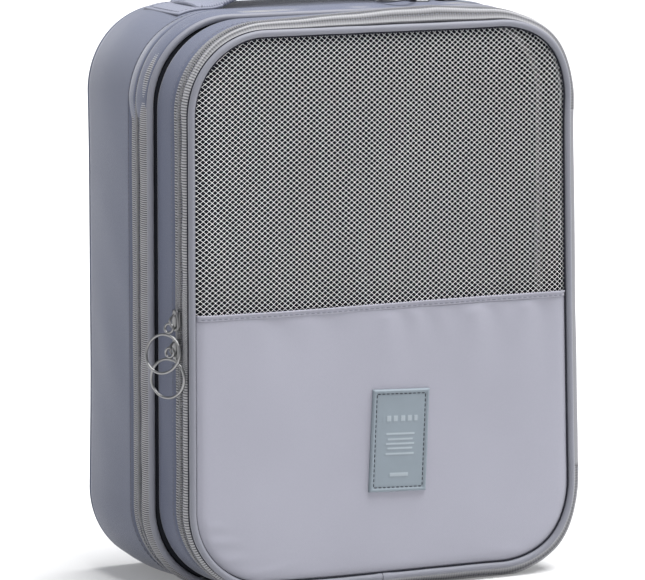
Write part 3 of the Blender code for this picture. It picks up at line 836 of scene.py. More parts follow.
def simulate_panel(piece, pins, cap, pressure=4.0, frames=20):
    """Swell a closed pad by cloth simulation; points move at most cap."""
    rest = vertex_points(piece.data)
    group = piece.vertex_groups.new(name="pins")
    group.add([int(i) for i in np.nonzero(pins)[0]], 1.0, "REPLACE")
    pad = piece.modifiers.new("pad", "CLOTH")
    settings = pad.settings
    settings.quality = 6
    settings.mass = 0.25
    settings.use_pressure = True
    settings.uniform_pressure_force = pressure
    settings.vertex_group_mass = "pins"
    settings.tension_stiffness = 12.0
    settings.compression_stiffness = 8.0
    settings.bending_stiffness = 0.3
    settings.effector_weights.gravity = 0.0
    for step in range(1, frames + 1):
        bpy.context.scene.frame_set(step)
    graph = bpy.context.evaluated_depsgraph_get()
    moved = vertex_points(piece.evaluated_get(graph).data)
    piece.modifiers.remove(pad)
    bpy.context.scene.frame_set(1)
    shift = moved - rest
    length = np.linalg.norm(shift, axis=1)[:, None]
    shift *= np.minimum(1.0, cap / np.maximum(length, 1e-9))
    piece.data.vertices.foreach_set("co", (rest + shift).astype(np.float32).ravel())
    piece.data.update()


def build_back_panel():
    """Back wall of the bag, padded and swelled by simulation inside its sewn edge."""
    edge = 0.6 * MM
    x, z = panel_grid(REAR, edge, REAR[1] + edge, REAR[2] - edge, 4.0 * MM)
    depth = edge_distance(REAR, edge, x, z)
    lip = 1.0 - np.exp(-(np.maximum(depth, 0.0) / (2.2 * MM)) ** 1.2)
    wave = ripples(41, 0.5 * MM, 0.09, 0.09)
    front = BACK_LO.y + 0.0002 + 0.0 * x
    back = BACK_HI.y - 1.1 * MM + 1.3 * MM * lip + wave(x, z) * lip
    piece = slab("back_panel_cloth", x, z, front, back, LINING_AND_INNER_SHADE, SHELL)
    points = vertex_points(piece.data)
    rim = edge_distance(REAR, edge, points[:, 0], points[:, 2])
    inner = points[:, 1] < BACK_LO.y + 0.5 * MM
    simulate_panel(piece, (rim < 5.0 * MM) | inner, 5.0 * MM)
    fine = piece.modifiers.new("fine", "SUBSURF")
    fine.levels = fine.render_levels = 1
    place(piece, "rear_case", "back_panel")


def seam_and_crease_shade_cord(name, body, path, radius, sides, up, finish):
    """Closed thin cord along a path, for an edge, for a row of stitches seen as a line, and for dark lines of
    painted shade in creases.
    """
    cord = skin(name, tube_points(path, radius, sides, True, 1.0, up), finish, True, True)
    place(cord, body)


def build_rear_case():
    """Back, deep gusset, seam tape, stitching, back edge seam and the shell's lip over the rear zip."""
    build_back_panel()
    low, high = GUSSET_LO.y, GUSSET_HI.y
    side = gusset("rear_gusset_cloth", "rear_case", REAR, low, high, 1.3 * MM, 5, ["rear_gusset"])
    wrap = binding("back_seam_tape", "rear_case", REAR, 2.8 * MM, "back_seam_binding")
    top = seam_stitches("rear_gusset_stitching", "rear_case", REAR, None, 0.35 * MM, low + 2.6 * MM, THREAD)
    s = stations((0.0, perimeter(REAR)), 2.0 * MM)[:-1]
    path = rail(REAR, s, np.array([-1.0 * MM]), np.array([high - 0.2 * MM]))[:, 0]
    path[:, 2] = np.maximum(path[:, 2], 1.2 * MM)
    seam_and_crease_shade_cord("back_edge_seam", "rear_case", path, 1.1 * MM, 10, ALONG_Y, SHELL)
    flap = zip_flap("rear_gusset_lip", "rear_case", REAR_ZIP_Y, low + 1.5 * MM, 0.4 * MM)


def build_zip(prefix, outline, zip_y, tapes, sliders, bellies, biases):
    """Both halves of one zip. tapes gives each half's (body, seam depth)."""
    track = FRONT if outline is FRONT else REAR_COIL
    for half, side, belly, bias in zip(("front", "rear"), (-1.0, 1.0), bellies, biases):
        body, edge_y = tapes[half]
        strip = tape(f"{prefix}_{half}_tape_cloth", body, outline, edge_y, zip_y, belly, sliders, bias,
                     f"{prefix}_zip_{half}_tape")
        coil(f"{prefix}_{half}_coil_loops", body, track, zip_y, side, f"{prefix}_zip_{half}_coil")
        span = zip_span(outline)
        rows = [seam_stitches(f"{prefix}_{half}_coil_stitching", body, outline, span,
                              belly * 0.55 + 0.1 * MM, zip_y + side * 3.0 * MM, THREAD, 2.4, 0.26),
                seam_stitches(f"{prefix}_{half}_tape_stitching", body, outline, span,
                              -0.1 * MM, edge_y - side * 1.5 * MM, THREAD, 2.8, 0.24)]


# ------------------------------------------------------------------ front case
def build_front_case():
    """Divider, its piping, the shallow gusset and the cloth hinge behind it."""
    inset = 2.9 * MM
    x, z = panel_grid(LID, inset, LID[1] + inset, LID[2] - inset, 3.5 * MM)
    depth = edge_distance(LID, inset, x, z)
    slack = 1.0 - np.exp(-(np.maximum(depth - 12.0 * MM, 0.0) / (25.0 * MM)) ** 2)
    wave = ripples(17, 0.8 * MM, 0.1, 0.1)
    sag = slack * (1.2 * MM + wave(x, z))
    middle = slab("divider_cloth", x, z, DIVIDER_LO.y + sag, DIVIDER_HI.y + sag, LINING_AND_INNER_SHADE, LINING_AND_INNER_SHADE)
    place(middle, "front_case", "divider_panel")
    piping("middle_piping_cord", "front_case", LID, 0.5 * MM, MIDDLE_PIPING_Y, "middle_piping")
    binding("divider_seam_tape", "front_case", REAR, 1.8 * MM, "divider_seam_binding")
    low, high = FRONT_LO.y, FRONT_HI.y
    side = gusset("front_gusset_cloth", "front_case", FRONT, low, high, 0.7 * MM, 9, ["front_gusset"])
    wrap = binding("front_gusset_tape", "front_case", FRONT, 2.8 * MM, "front_gusset_binding")
    top = seam_stitches("front_gusset_stitching", "front_case", FRONT, None, 0.15 * MM, low + 2.2 * MM,
                        THREAD)
    flap = zip_flap("lid_lip", "front_case", REAR_ZIP_Y, MIDDLE_PIPING_Y + 2.4 * MM, 0.3 * MM)
    hinge_strip("rear_hinge_cloth", REAR, "rear_hinge_strip")


# ------------------------------------------------------------------ cover
# Pleats under the hem: place across, depth, width, reach down (mm) and sideways lean
PLEATS = ((1.0, 0.7, 5.0, 26.0, 0.05), (17.0, 0.6, 4.0, 20.0, 0.1), (55.0, 0.8, 5.5, 30.0, -0.08),
          (86.0, 0.9, 5.0, 26.0, -0.15), (-48.0, 0.45, 7.0, 24.0, 0.1), (33.0, 0.4, 4.0, 16.0, 0.0),
          (-78.0, 0.4, 6.0, 18.0, 0.1), (71.0, 0.4, 4.0, 15.0, 0.1))
# Creases by the lower corners: height (mm), slope, and middle, length and depth (mm)
CREASES = ((24.0, 0.06, -100.0, 14.0, 0.8), (35.0, -0.05, -102.0, 12.0, 0.6), (15.0, 0.2, -80.0, 20.0, 0.7),
           (11.0, 0.05, -62.0, 18.0, 0.6), (44.0, -0.1, -104.0, 9.0, 0.4), (14.0, -0.2, 86.0, 18.0, 0.5))


def gathers(x, z):
    """How far the lower panel stands out at (x, z): pleats under the hem, creases by the corners."""
    below = HEM_LO.z - z
    value = 0.0 * x
    for middle, depth, width, reach, lean in PLEATS:
        at = middle * MM + lean * below
        wide = width * MM * (1.0 + 0.9 * below / (reach * MM))
        fade = np.exp(-below / (reach * MM))
        value = value + depth * MM * bump_at(x, at, wide) * fade
        value = value - 0.6 * depth * MM * bump_at(x, at + 1.7 * wide, wide) * fade
    value = 1.5 * value * smooth(below, -0.5 * MM, 5.0 * MM)
    for height, rise, middle, width, depth in CREASES:
        line = (z - height * MM) - rise * (x - middle * MM)
        fold = bump_at(line, 0.0, 2.6 * MM) - 0.7 * bump_at(line, -5.0 * MM, 3.2 * MM)
        value = value + depth * MM * bump_at(x, middle * MM, width * MM) * fold
    return value


# Where the cover's cloth starts, in from the outline, and the sway of the hem along its length
PIPED_EDGE = 4.3 * MM
HEM_SWAY = 0.25 * MM
HEM_SWAY_RUN = 31.0 * MM


def cover_bulge(x, z):
    """Shared swell of the cover: it stands out softly away from its piped edge."""
    depth = edge_distance(FRONT, PIPED_EDGE, x, z)
    return 0.9 * MM * (1.0 - np.exp(-(np.maximum(depth, 0.0) / (16.0 * MM)) ** 1.2))


def edge_tuck(depth):
    """How far cloth dives behind the piping, at this distance from its edge."""
    return 1.9 * MM * np.exp(-(np.maximum(depth, 0.0) / (2.2 * MM)) ** 1.3)


def panel_front(x, z):
    """Outer face of the lower panel."""
    wave = ripples(23, 0.45 * MM, 0.08, 0.08)
    depth = edge_distance(FRONT, PIPED_EDGE, x, z)
    ease = 1.0 - np.exp(-(np.maximum(depth, 0.0) / (6.0 * MM)) ** 1.5)
    return PANEL_LO.y - cover_bulge(x, z) - ease * (gathers(x, z) + wave(x, z)) + edge_tuck(depth)


def hem_face(x):
    """Depth of the cover's face along the middle of the hem, before the hem's own waves."""
    z = 0.5 * (HEM_LO.z + HEM_HI.z) + 0.0 * x
    return PANEL_LO.y - cover_bulge(x, z) + edge_tuck(edge_distance(FRONT, PIPED_EDGE, x, z))


def build_lower_panel():
    """Cloth panel, eased into the hem above and the piping round its edge."""
    inset = 3.4 * MM
    x, z = panel_grid(FRONT, inset, FRONT[1] + inset, HEM_LO.z + 0.4 * MM, 1.6 * MM)
    front = panel_front(x, z)
    panel = slab("lower_panel_cloth", x, z, front, front + 0.9 * MM, PANEL, LINING_AND_INNER_SHADE)
    place(panel, "cover", "lower_panel")
    x = np.linspace(HEM_LO.x + 2.0 * MM, HEM_HI.x - 2.0 * MM, 240)
    level = HEM_LO.z + 0.9 * MM + HEM_SWAY * np.sin(x / HEM_SWAY_RUN)
    path = xyz(x, hem_face(x) - 0.5 * MM + ripples(31, 0.3 * MM, 0.05)(x, 0.0), level)
    batch = Batch()
    stitches(batch, path, np.tile(-ALONG_Y, (len(x), 1)), 3.2, 0.66, 0.26, 0.05)
    row = place(batch.make("hem_stitching", THREAD), "cover")
    hem = build_hem()


def build_hem():
    """Folded strip along the bottom of the window: a light upper lip over a flatter fold."""
    x = np.linspace(HEM_LO.x + 0.1 * MM, HEM_HI.x - 0.1 * MM, 150)
    low, high = HEM_LO.z, HEM_HI.z
    face = hem_face(x) + ripples(31, 0.3 * MM, 0.05)(x, 0.0)
    sway = HEM_SWAY * np.sin(x / HEM_SWAY_RUN)
    section = [(-0.1, low), (-0.4, low + 0.35 * MM), (-0.42, low + 1.2 * MM), (-0.38, high - 0.9 * MM),
               (-0.8, high - 0.5 * MM), (-0.78, high), (-0.35, high + 0.3 * MM), (0.2, high + 0.1 * MM),
               (0.9, high - 0.8 * MM), (0.9, low + 0.3 * MM), (0.3, low - 0.1 * MM)]
    rows = [xyz(x, face + out * MM, z + sway) for out, z in section]
    hem = skin("window_hem_cloth", np.stack(rows, 1), PANEL, False, True, True)
    return place(hem, "cover", "window_hem")


NET_PITCH_X = 3.4 * MM
NET_PITCH_Z = 2.75 * MM


def net_depth(x, z):
    """Depth of the net: stretched over the window with a little slack."""
    wave = ripples(37, 0.7 * MM, 0.1, 0.1)
    depth = edge_distance(FRONT, PIPED_EDGE, x, z)
    ease = np.clip(depth / (14.0 * MM), 0.0, 1.0)
    return (NET_LO.y + NET_HI.y) / 2.0 - 0.7 * cover_bulge(x, z) + ease * wave(x, z) + edge_tuck(depth)


def build_net():
    """Diamond net: two families of threads that meet in small knots."""
    low = HEM_HI.z - 0.3 * MM
    half, _, top, _ = FRONT
    slope, step = NET_PITCH_Z / NET_PITCH_X, NET_PITCH_Z / 4.0
    reach = top - low
    batch = Batch()
    strands = int((2.0 * half + reach / slope) / NET_PITCH_X) + 2
    for way in (1.0, -1.0):
        for k in range(-1, strands):
            start = -half + k * NET_PITCH_X - (reach / slope if way > 0 else 0.0)
            steps = np.arange(int(reach / step) + 1)
            z = low + steps * step
            x = start + way * (z - low) / slope
            inside = edge_distance(FRONT, 3.0 * MM, x, z) > 0.0
            if inside.sum() < 4:
                continue
            x, z, steps = x[inside], z[inside], steps[inside]
            knot = steps % 2 == 0
            thick = np.where(knot, 0.135, 0.095) * MM
            sway = np.where(knot, 0.12, 0.0) * MM * np.where((steps // 2 + k) % 2 == 0, 1.0, -1.0)
            batch.add(tube_points(xyz(x, net_depth(x, z) + way * sway, z), thick, 4, up=-ALONG_Y))
    net = place(batch.make("window_net_threads", NET), "cover", "window_net")


LABEL_SIZE = (34.0 * MM, 56.5 * MM)
LABEL_LEAN = math.radians(2.4)
LABEL_STITCH_INSET = 2.5 * MM


def label_place(u, v):
    """X and Z of a point of the label, which is sewn on a little askew."""
    middle = (LABEL_LO + LABEL_HI) / 2.0
    x = middle.x + u * math.cos(LABEL_LEAN) + v * math.sin(LABEL_LEAN)
    return x, middle.z - u * math.sin(LABEL_LEAN) + v * math.cos(LABEL_LEAN)


def build_label():
    """Moulded patch: raised rim, stitched groove and a plain raised pattern."""
    wide, tall = LABEL_SIZE
    u, v = np.meshgrid(np.linspace(-0.5, 0.5, 70) * wide, np.linspace(-0.5, 0.5, 114) * tall)
    inset = np.minimum(wide / 2.0 - np.abs(u), tall / 2.0 - np.abs(v))
    rim = 0.55 * MM * (1.0 / (1.0 + ((inset - 1.0 * MM) / (0.8 * MM)) ** 6))
    groove = 0.22 * MM * bump_at(inset, LABEL_STITCH_INSET, 0.55 * MM)
    raised = mark_height(u, v)
    round_edge = 0.8 * MM * np.exp(-inset / (0.35 * MM))
    lift = 1.15 * MM + rim - groove + raised - round_edge
    x, z = label_place(u, v)
    base = float(np.min(panel_front(x, z)))
    seat = panel_front(x, z) * 0.5 + base * 0.5
    patch = slab("label_patch_moulded", x, z, seat - lift, seat + 0.7 * MM, LABEL)
    second_finish(patch, LABEL_MARK, (raised[:-1, :-1] > 0.12 * MM).ravel())
    place(patch, "cover", "label_patch")
    t = np.linspace(0.0, 1.0, 60)
    a, b = wide / 2.0 - LABEL_STITCH_INSET, tall / 2.0 - LABEL_STITCH_INSET
    corners = ((-a, -b), (a, -b), (a, b), (-a, b), (-a, -b))
    batch = Batch()
    for start, end in zip(corners, corners[1:]):
        x, z = label_place(start[0] + (end[0] - start[0]) * t, start[1] + (end[1] - start[1]) * t)
        level = panel_front(x, z) * 0.5 + base * 0.5 - 1.0 * MM
        stitches(batch, xyz(x, level, z), np.tile(-ALONG_Y, (len(t), 1)), 2.6, 0.7, 0.24)
    place(batch.make("label_stitching", DARK_THREAD_AND_CREASE_SHADE), "cover")


def mark_height(u, v):
    """Raised pattern of the label: a bar of lozenges, five plain lines and a short bar."""
    def bar(middle_v, tall, wide):
        across = 1.0 / (1.0 + (np.abs(u) / (wide * MM / 2.0)) ** 24)
        return across / (1.0 + (np.abs(v - middle_v * MM) / (tall * MM / 2.0)) ** 10)

    pattern = bar(12.0, 3.4, 20.0) * (0.5 + 0.5 * np.sign(np.sin(2.0 * np.pi * u / (4.0 * MM)) + 0.35))
    for k in range(5):
        pattern = pattern + bar(3.4 - 2.7 * k, 1.0, 17.0 - 2.0 * (k % 2))
    pattern = pattern + bar(-19.0, 1.8, 11.0)
    return 0.22 * MM * np.clip(pattern, 0.0, 1.0)


def build_cover():
    """Front cover: net window, lower panel, hem, label, piping and cloth hinge."""
    build_net()
    build_lower_panel()
    build_label()
    piping("front_piping_cord", "cover", FRONT, PIPING_RADIUS, FRONT_PIPING_Y, "front_piping")
    s = stations((0.0, perimeter(FRONT)), 1.5 * MM)[:-1]
    around = s / perimeter(FRONT)
    left = smooth(around, 0.36, 0.42) * (1.0 - smooth(around, 0.64, 0.70))
    # The dark cords in the creases on both sides of the front piping are painted shade; the inner one thins
    # on the left, where its crease is hidden.
    for name, out, behind, radius in (("piping_inner_seam", -4.1 * MM, 0.1 * MM, (0.5 - 0.42 * left) * MM),
                                      ("piping_outer_seam", -0.25 * MM, 1.75 * MM, 0.45 * MM)):
        path = rail(FRONT, s, np.array([out]), np.array([FRONT_PIPING_Y + behind]))[:, 0]
        seam_and_crease_shade_cord(name, "cover", path, radius, 8, ALONG_Y, DARK_THREAD_AND_CREASE_SHADE)
    turns, reach = circle(24), PIPING_RADIUS * 1.17
    joint = xyz(-1.0 * MM, FRONT_PIPING_Y + reach * np.cos(turns),
                FRONT[1] + PIPING_RADIUS + reach * np.sin(turns))
    seam_and_crease_shade_cord("piping_joint_seam", "cover", joint, 0.16 * MM, 6, ALONG_X, DARK_THREAD_AND_CREASE_SHADE)
    binding("cover_seam_tape", "cover", FRONT, 1.8 * MM, "cover_seam_binding")
    hinge_strip("front_hinge_cloth", FRONT, "front_hinge_strip")


# ------------------------------------------------------------------ handle
HANDLE_REACH = 90 * MM
HANDLE_FREE = 73 * MM
HANDLE_RISE = 28 * MM


def top_surface(x):
    """Height of the rear case's top above x."""
    half, _, top, radius = REAR
    over = np.clip(np.abs(x) - (half - radius), 0.0, None)
    return top - radius + np.sqrt(radius ** 2 - over ** 2)


def handle_line(x):
    """Height of the handle's underside: flat on the case at its ends, arched between."""
    free = np.clip(1.0 - (x / HANDLE_FREE) ** 2, 0.0, 1.0)
    return top_surface(x) + HANDLE_RISE * free ** 2


def handle_grid(reach_low, reach_high, curve, front_y, back_y, count):
    """Grid along the handle; curve gives (height over the underside, share of the width)."""
    x = np.linspace(reach_low, reach_high, count)
    z = handle_line(x)
    slope = np.gradient(z, x)
    length = np.sqrt(1.0 + slope ** 2)
    lift, share = curve[None, :, 0], curve[None, :, 1]
    y = front_y + (back_y - front_y) * (share + 1.0) / 2.0
    px = x[:, None] - (slope / length)[:, None] * lift
    pz = z[:, None] + (1.0 / length)[:, None] * lift
    return xyz(px, y, pz)


def build_handle():
    """Padded strap with corded, over-sewn edges, on two flat stitched tabs."""
    front_y, back_y = HANDLE_LO.y, HANDLE_HI.y
    t = np.linspace(-1.0, 1.0, 17)
    crown = np.stack([(1.9 + 1.5 * (1.0 - t ** 2) - 0.5 * bump_at(np.abs(t), 0.78, 0.07)) * MM, t * 0.94], -1)
    under = np.stack([0.5 * MM + 0.0 * t, t * 0.94], -1)[::-1]
    section = np.concatenate([crown, under])
    grid = handle_grid(-HANDLE_FREE - 4 * MM, HANDLE_FREE + 4 * MM, section, front_y, back_y, 170)
    strap = skin("handle_strap_cloth", grid, HANDLE, False, True, True)
    place(strap, "rear_case", "handle_strap")
    for name, y in (("handle_front_cord", front_y + 0.8 * MM), ("handle_back_cord", back_y - 0.8 * MM)):
        x = np.linspace(-HANDLE_FREE - 3 * MM, HANDLE_FREE + 3 * MM, 700)
        ribs = 1.0 + 0.10 * np.sin(2.0 * np.pi * x / (1.5 * MM))
        path = xyz(x, y, handle_line(x) + 1.7 * MM)
        cord = skin(name, tube_points(path, 1.45 * MM * ribs, 10), HANDLE, False, True, True)
        place(cord, "rear_case")
    flat = np.array([(1.5, -1.06), (1.9, -1.03), (1.7, -0.9), (1.5, -0.5), (1.5, 0.5), (1.7, 0.9),
                     (1.9, 1.03), (1.5, 1.06), (0.3, 1.05), (0.3, 0.0), (0.3, -1.05)])
    flat[:, 0] *= MM
    for side, name in ((-1.0, "left"), (1.0, "right")):
        low, high = sorted((side * (HANDLE_REACH + 1.0 * MM), side * (HANDLE_FREE - 9.0 * MM)))
        grid = handle_grid(low, high, flat, front_y, back_y, 24)
        place(skin(f"handle_{name}_tab", grid, HANDLE, False, True, True), "rear_case")
        batch = Batch()
        box_stitch(batch, side, front_y, back_y)
        place(batch.make(f"handle_{name}_stitching", THREAD), "rear_case")
        anchor_patch(side, name, front_y, back_y)


def box_stitch(batch, side, front_y, back_y):
    """Stitched border of one tab."""
    low, high = HANDLE_FREE + 5.0 * MM, HANDLE_REACH - 1.5 * MM
    near, far = front_y + 2.0 * MM, back_y - 2.0 * MM
    x = np.concatenate([np.linspace(low, high, 30), np.full(30, high), np.linspace(high, low, 30)]) * side
    y = np.concatenate([np.full(30, near), np.linspace(near, far, 30), np.full(30, far)])
    slope = (top_surface(x + 0.1 * MM) - top_surface(x - 0.1 * MM)) / (0.2 * MM)
    length = np.sqrt(1.0 + slope ** 2)
    ups = xyz(-slope / length, 0.0, 1.0 / length)
    path = xyz(x, y, top_surface(x)) + ups * 1.65 * MM
    stitches(batch, path, ups, 2.6, 0.7, 0.25)


def anchor_patch(side, name, front_y, back_y):
    """Reinforcing patch inside the case, under one tab."""
    ends = sorted((abs(corner.x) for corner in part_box(f"handle_{name}_anchor")), reverse=True)
    half, _, top, radius = REAR
    out = np.linspace(*ends, 14) - (half - radius)
    turn = np.arcsin(np.clip(out / (radius - 4.0 * MM), 0.0, 1.0))[:, None]
    y = np.linspace(front_y, back_y, 9)
    layers = [xyz(side * (half - radius + (radius - depth) * np.sin(turn)), y,
                  top - radius + (radius - depth) * np.cos(turn)) for depth in (3.5 * MM, 4.6 * MM)]
    loop = np.concatenate([layers[0], layers[1][:, ::-1]], 1)
    patch = skin(f"handle_{name}_patch", loop, BINDING, False, True, True)
    place(patch, "rear_case", f"handle_{name}_anchor")


# ------------------------------------------------------------------ sliders and pulls
def in_frame(matrix, points):
    """Points of a grid moved by a 4x4 matrix."""
    m = np.array(matrix)
    return np.asarray(points, float) @ m[:3, :3].T + m[:3, 3]


def slider_plan(scale, count=40):
    """Closed plan of a slider's plate: wide nose, waist and rounded tail. x runs to the tail."""
    t = np.linspace(0.0, 2.0 * np.pi, count, endpoint=False)
    x = 6.0 * np.sign(np.cos(t)) * np.abs(np.cos(t)) ** 0.75
    half = 4.45 - 0.105 * (x + 6.0)
    y = half * np.sign(np.sin(t)) * np.abs(np.sin(t)) ** 0.55
    return np.stack([x * scale, y * scale], -1) * MM


# Rings of a slider's two plates: share of the full plan, and height over the tape in mm
TOP_PLATE = ((0.90, 2.55), (0.97, 2.62), (1.0, 2.9), (1.0, 3.35), (0.95, 3.72), (0.82, 3.9), (0.5, 4.0),
             (0.12, 4.03))
UNDER_PLATE = ((0.15, -2.15), (0.88, -2.15), (0.98, -2.4), (1.0, -2.75), (0.94, -3.15), (0.7, -3.28),
               (0.12, -3.3))
NOSE_X = -4.6


def build_slider(prefix, body, matrix):
    """Cast slider: domed top plate with turned-down edges, under plate and a nose post."""
    batch = Batch()
    for plate in (TOP_PLATE, UNDER_PLATE):
        rings = []
        for scale, height in plate:
            plan = slider_plan(scale)
            rings.append(xyz(plan[:, 0], plan[:, 1], height * MM))
        batch.add(in_frame(matrix, np.stack(rings)))
    t = circle(12)
    post = [xyz((NOSE_X + 1.3 * np.cos(t)) * MM, 0.34 * np.sin(t) * MM, height * MM)
            for height in (-2.4, -1.0, 1.0, 2.8)]
    batch.add(in_frame(matrix, np.stack(post)))
    for side in (-1.0, 1.0):
        x = np.linspace(-3.4, 4.6, 12)
        y = side * (4.25 - 0.105 * (x + 6.0))
        path = xyz(x, y, 2.35) * MM
        lip = tube_points(path, np.array([0.25] + [0.5] * 10 + [0.25]) * MM, 8)
        batch.add(in_frame(matrix, lip))
    piece = batch.make(f"{prefix}_slider_body", CAST)
    place(piece, body, f"{prefix}_slider")


def build_bail(prefix, body, matrix):
    """Leaf-shaped loop that rises from the nose, carries the eye and ends in a rounded tail."""
    t = np.linspace(0.0, 1.0, 26)
    x = NOSE_X + 7.9 * t
    z = 3.6 + 2.95 * np.sin(np.pi * np.clip(t * 1.02, 0.0, 1.0)) ** 0.62
    wide = 0.95 + 0.6 * np.sin(np.pi * t) ** 1.4
    rings = []
    turns = circle(12)
    path = xyz(x, 0.0, z)
    tangent = np.gradient(path, axis=0)
    tangent /= np.linalg.norm(tangent, axis=1)[:, None]
    for point, way, half in zip(path, tangent, wide):
        up = np.array([-way[2], 0.0, way[0]])
        rings.append(point + ALONG_Y * (half * np.cos(turns))[:, None] + up * (0.42 * np.sin(turns))[:, None])
    batch = Batch()
    batch.add(in_frame(matrix, np.array(rings) * MM))
    foot = xyz(2.9 + 0.7 * np.cos(turns), 1.1 * np.sin(turns), 3.7)
    foot_top = foot * [1, 0.85, 1] + [0.1, 0, 0.7]
    batch.add(in_frame(matrix, np.stack([foot, foot_top]) * MM))
    piece = batch.make(f"{prefix}_bail_loop", CAST)
    place(piece, body, f"{prefix}_bail")


def build_ring_pull(prefix, body, matrix):
    """Large wire ring cast in one with its small eye, through a flared neck."""
    batch = Batch()
    for radius, wire, drop, count in ((10.4, 0.78, 16.5, 72), (2.5, 0.72, 2.5, 32)):
        turns = circle(count)
        path = xyz(0.0, radius * np.sin(turns), radius * np.cos(turns) - drop) * MM
        rings = tube_points(path, wire * MM, 12, closed=True, up=ALONG_X)
        batch.add(in_frame(matrix, rings), wrap_rows=True, caps=False)
    turns = circle(16)
    neck = []
    for level in np.linspace(0.0, 1.0, 7):
        across = (0.85 + 2.3 * abs(level - 0.18) ** 1.7) * np.sin(turns)
        neck.append(xyz(0.62 * np.cos(turns), across, -4.6 - 2.1 * level - 0.08 * across ** 2 * level))
    batch.add(in_frame(matrix, np.array(neck) * MM))
    piece = batch.make(f"{prefix}_ring", METAL)
    place(piece, body, f"{prefix}_ring_pull")


RING_TWIST = math.radians(34.0)
# How each pull rests: lean of its ring in degrees, twist, way to the slider's tail, way out of the zip
RESTS = {
    "front_upper": (15.0, RING_TWIST, Vector((0.0, 0.0, 1.0)), Vector((-1.0, 0.0, 0.0))),
    "front_lower": (5.0, RING_TWIST, Vector((0.0, 0.0, -1.0)), Vector((-1.0, 0.0, 0.0))),
    "rear_left": (82.8, 0.0, Vector((-1.0, 0.0, 0.0)), Vector((0.0, 0.0, 1.0))),
    "rear_right": (-82.8, 0.0, Vector((1.0, 0.0, 0.0)), Vector((0.0, 0.0, 1.0))),
}
# The eye that a ring hangs on, in its slider's own frame
PIVOT_LOCAL = Vector((-1.5, 0.0, 6.4)) * MM


def build_hardware():
    """Two sliders on each zip, with their loops and ring pulls."""
    for prefix, (lean, twist, tail, out) in RESTS.items():
        across = out.cross(tail)
        matrix = Matrix((tail, across, out)).transposed().to_4x4()
        pivot = PIVOTS[f"{prefix}_pull_hinge"]
        matrix.translation = pivot - matrix.to_3x3() @ PIVOT_LOCAL
        build_slider(prefix, f"{prefix}_runner", matrix)
        build_bail(prefix, f"{prefix}_runner", matrix)
        turn = Matrix.Translation(pivot) @ Matrix.Rotation(math.radians(lean), 4, "Y")
        build_ring_pull(prefix, f"{prefix}_pull", turn @ Matrix.Rotation(twist, 4, "Z"))


# ------------------------------------------------------------------ slack of both cases
# Pieces of metal, which the slack of the cloth leaves where their joints are
HARDWARE = ("_slider_body", "_bail_loop", "_ring")
# How far the front case's hinge side stands out at these heights
HANG_AT = (30.0 * MM, 60.0 * MM, 150.0 * MM, 250.0 * MM, 310.0 * MM)
HANG = (2.6 * MM, 2.8 * MM, 0.6 * MM, -1.4 * MM, -1.6 * MM)
# Depths between which the front case's slack dies out, and the rear case's lean sets in
FRONT_SLACK_Y = (-36.0 * MM, -22.0 * MM)
REAR_LEAN_Y = (0.0, 45.0 * MM)


def corner_swell(x, z, middle_x, middle_z, height, width):
    """Round swell about a point of the outline."""
    return height * np.exp(-(np.hypot(x - middle_x, z - middle_z) / width) ** 2)


def front_slack(x, y, z):
    """Shift across and up of the front case: full at the bottom of its hinge side, drawn in at the top."""
    near = 1.0 - smooth(y, *FRONT_SLACK_Y)
    share = smooth(x, -10.0 * MM, FRONT[0]) * near
    fuller = corner_swell(x, z, FRONT[0] - 10.0 * MM, FRONT[1] + 10.0 * MM, 2.6 * MM, 26.0 * MM)
    square = corner_swell(x, z, FRONT[0] - 14.0 * MM, FRONT[2] - 14.0 * MM, 2.6 * MM, 24.0 * MM)
    sag = 1.8 * MM * (1.0 - smooth(z, 8.0 * MM, 50.0 * MM)) * smooth(x, -FRONT[0], -20.0 * MM)
    across = share * (np.interp(z, HANG_AT, HANG) + 0.7 * fuller + 0.7 * square)
    return across, share * (0.7 * square - 0.5 * fuller) - near * sag


def rear_slack(x, y, z):
    """Shift across and up of the rear case: it leans to the left, and its top falls to the hinge side."""
    far = smooth(y, *REAR_LEAN_Y)
    top = smooth(z, 220.0 * MM, REAR[2])
    square = corner_swell(x, z, 14.0 * MM - REAR[0], REAR[2] - 14.0 * MM, 1.6 * MM, 28.0 * MM)
    foot = 1.0 - smooth(z, 20.0 * MM, 120.0 * MM)
    lean = 0.8 * MM + 0.8 * MM * top + 1.3 * MM * foot + 0.2 * square
    lid_fall = 3.6 * MM * smooth(y, -36.0 * MM, -12.0 * MM) * smooth(x, 66.0 * MM, 100.0 * MM)
    case_fall = 4.2 * MM * smooth(y, 0.0, 70.0 * MM) * smooth(x, 10.0 * MM, 80.0 * MM)
    return -far * lean, far * 0.4 * square - top * (lid_fall + case_fall)


def shape_slack():
    """Let the soft cases lean and hang, with everything sewn to them, and keep it all over the floor."""
    for piece in bpy.context.scene.objects:
        if piece.type != "MESH" or piece.name in frame["nodes"] or piece.name == "floor":
            continue
        if piece.name.endswith(HARDWARE):
            continue
        co = np.zeros(len(piece.data.vertices) * 3, np.float32)
        piece.data.vertices.foreach_get("co", co)
        co = co.reshape(-1, 3)
        x, y, z = co.T.copy()
        for slack in (front_slack, rear_slack):
            across, up = slack(x, y, z)
            co[:, 0] += across
            co[:, 2] += up
        co[:, 2] = np.maximum(co[:, 2], np.minimum(z, FLOOR_CLEAR))
        piece.data.vertices.foreach_set("co", co.ravel())
        piece.data.update()


# ------------------------------------------------------------------ stage
FLOOR_REACH = 20.0
FLOOR_DROP = 0.15 * MM
# Lamps: name, way that they lie in, energy, apparent size in degrees
LAMPS = (("key", (0.20, -0.145, 0.97), 7.2, 44.0), ("side", (0.85, -0.35, 0.4), 0.7, 30.0))
# Camera: direction and distance from the point it aims at, found by fitting the photograph's outlines
CAMERA_AZIMUTH, CAMERA_ELEVATION = math.radians(-25.30), math.radians(8.567)
CAMERA_AIM = Vector((-8.26, 0.0, 157.64)) * MM
CAMERA_DISTANCE = 2.527
CAMERA_LENS, CAMERA_SENSOR = 255.5, 36.0


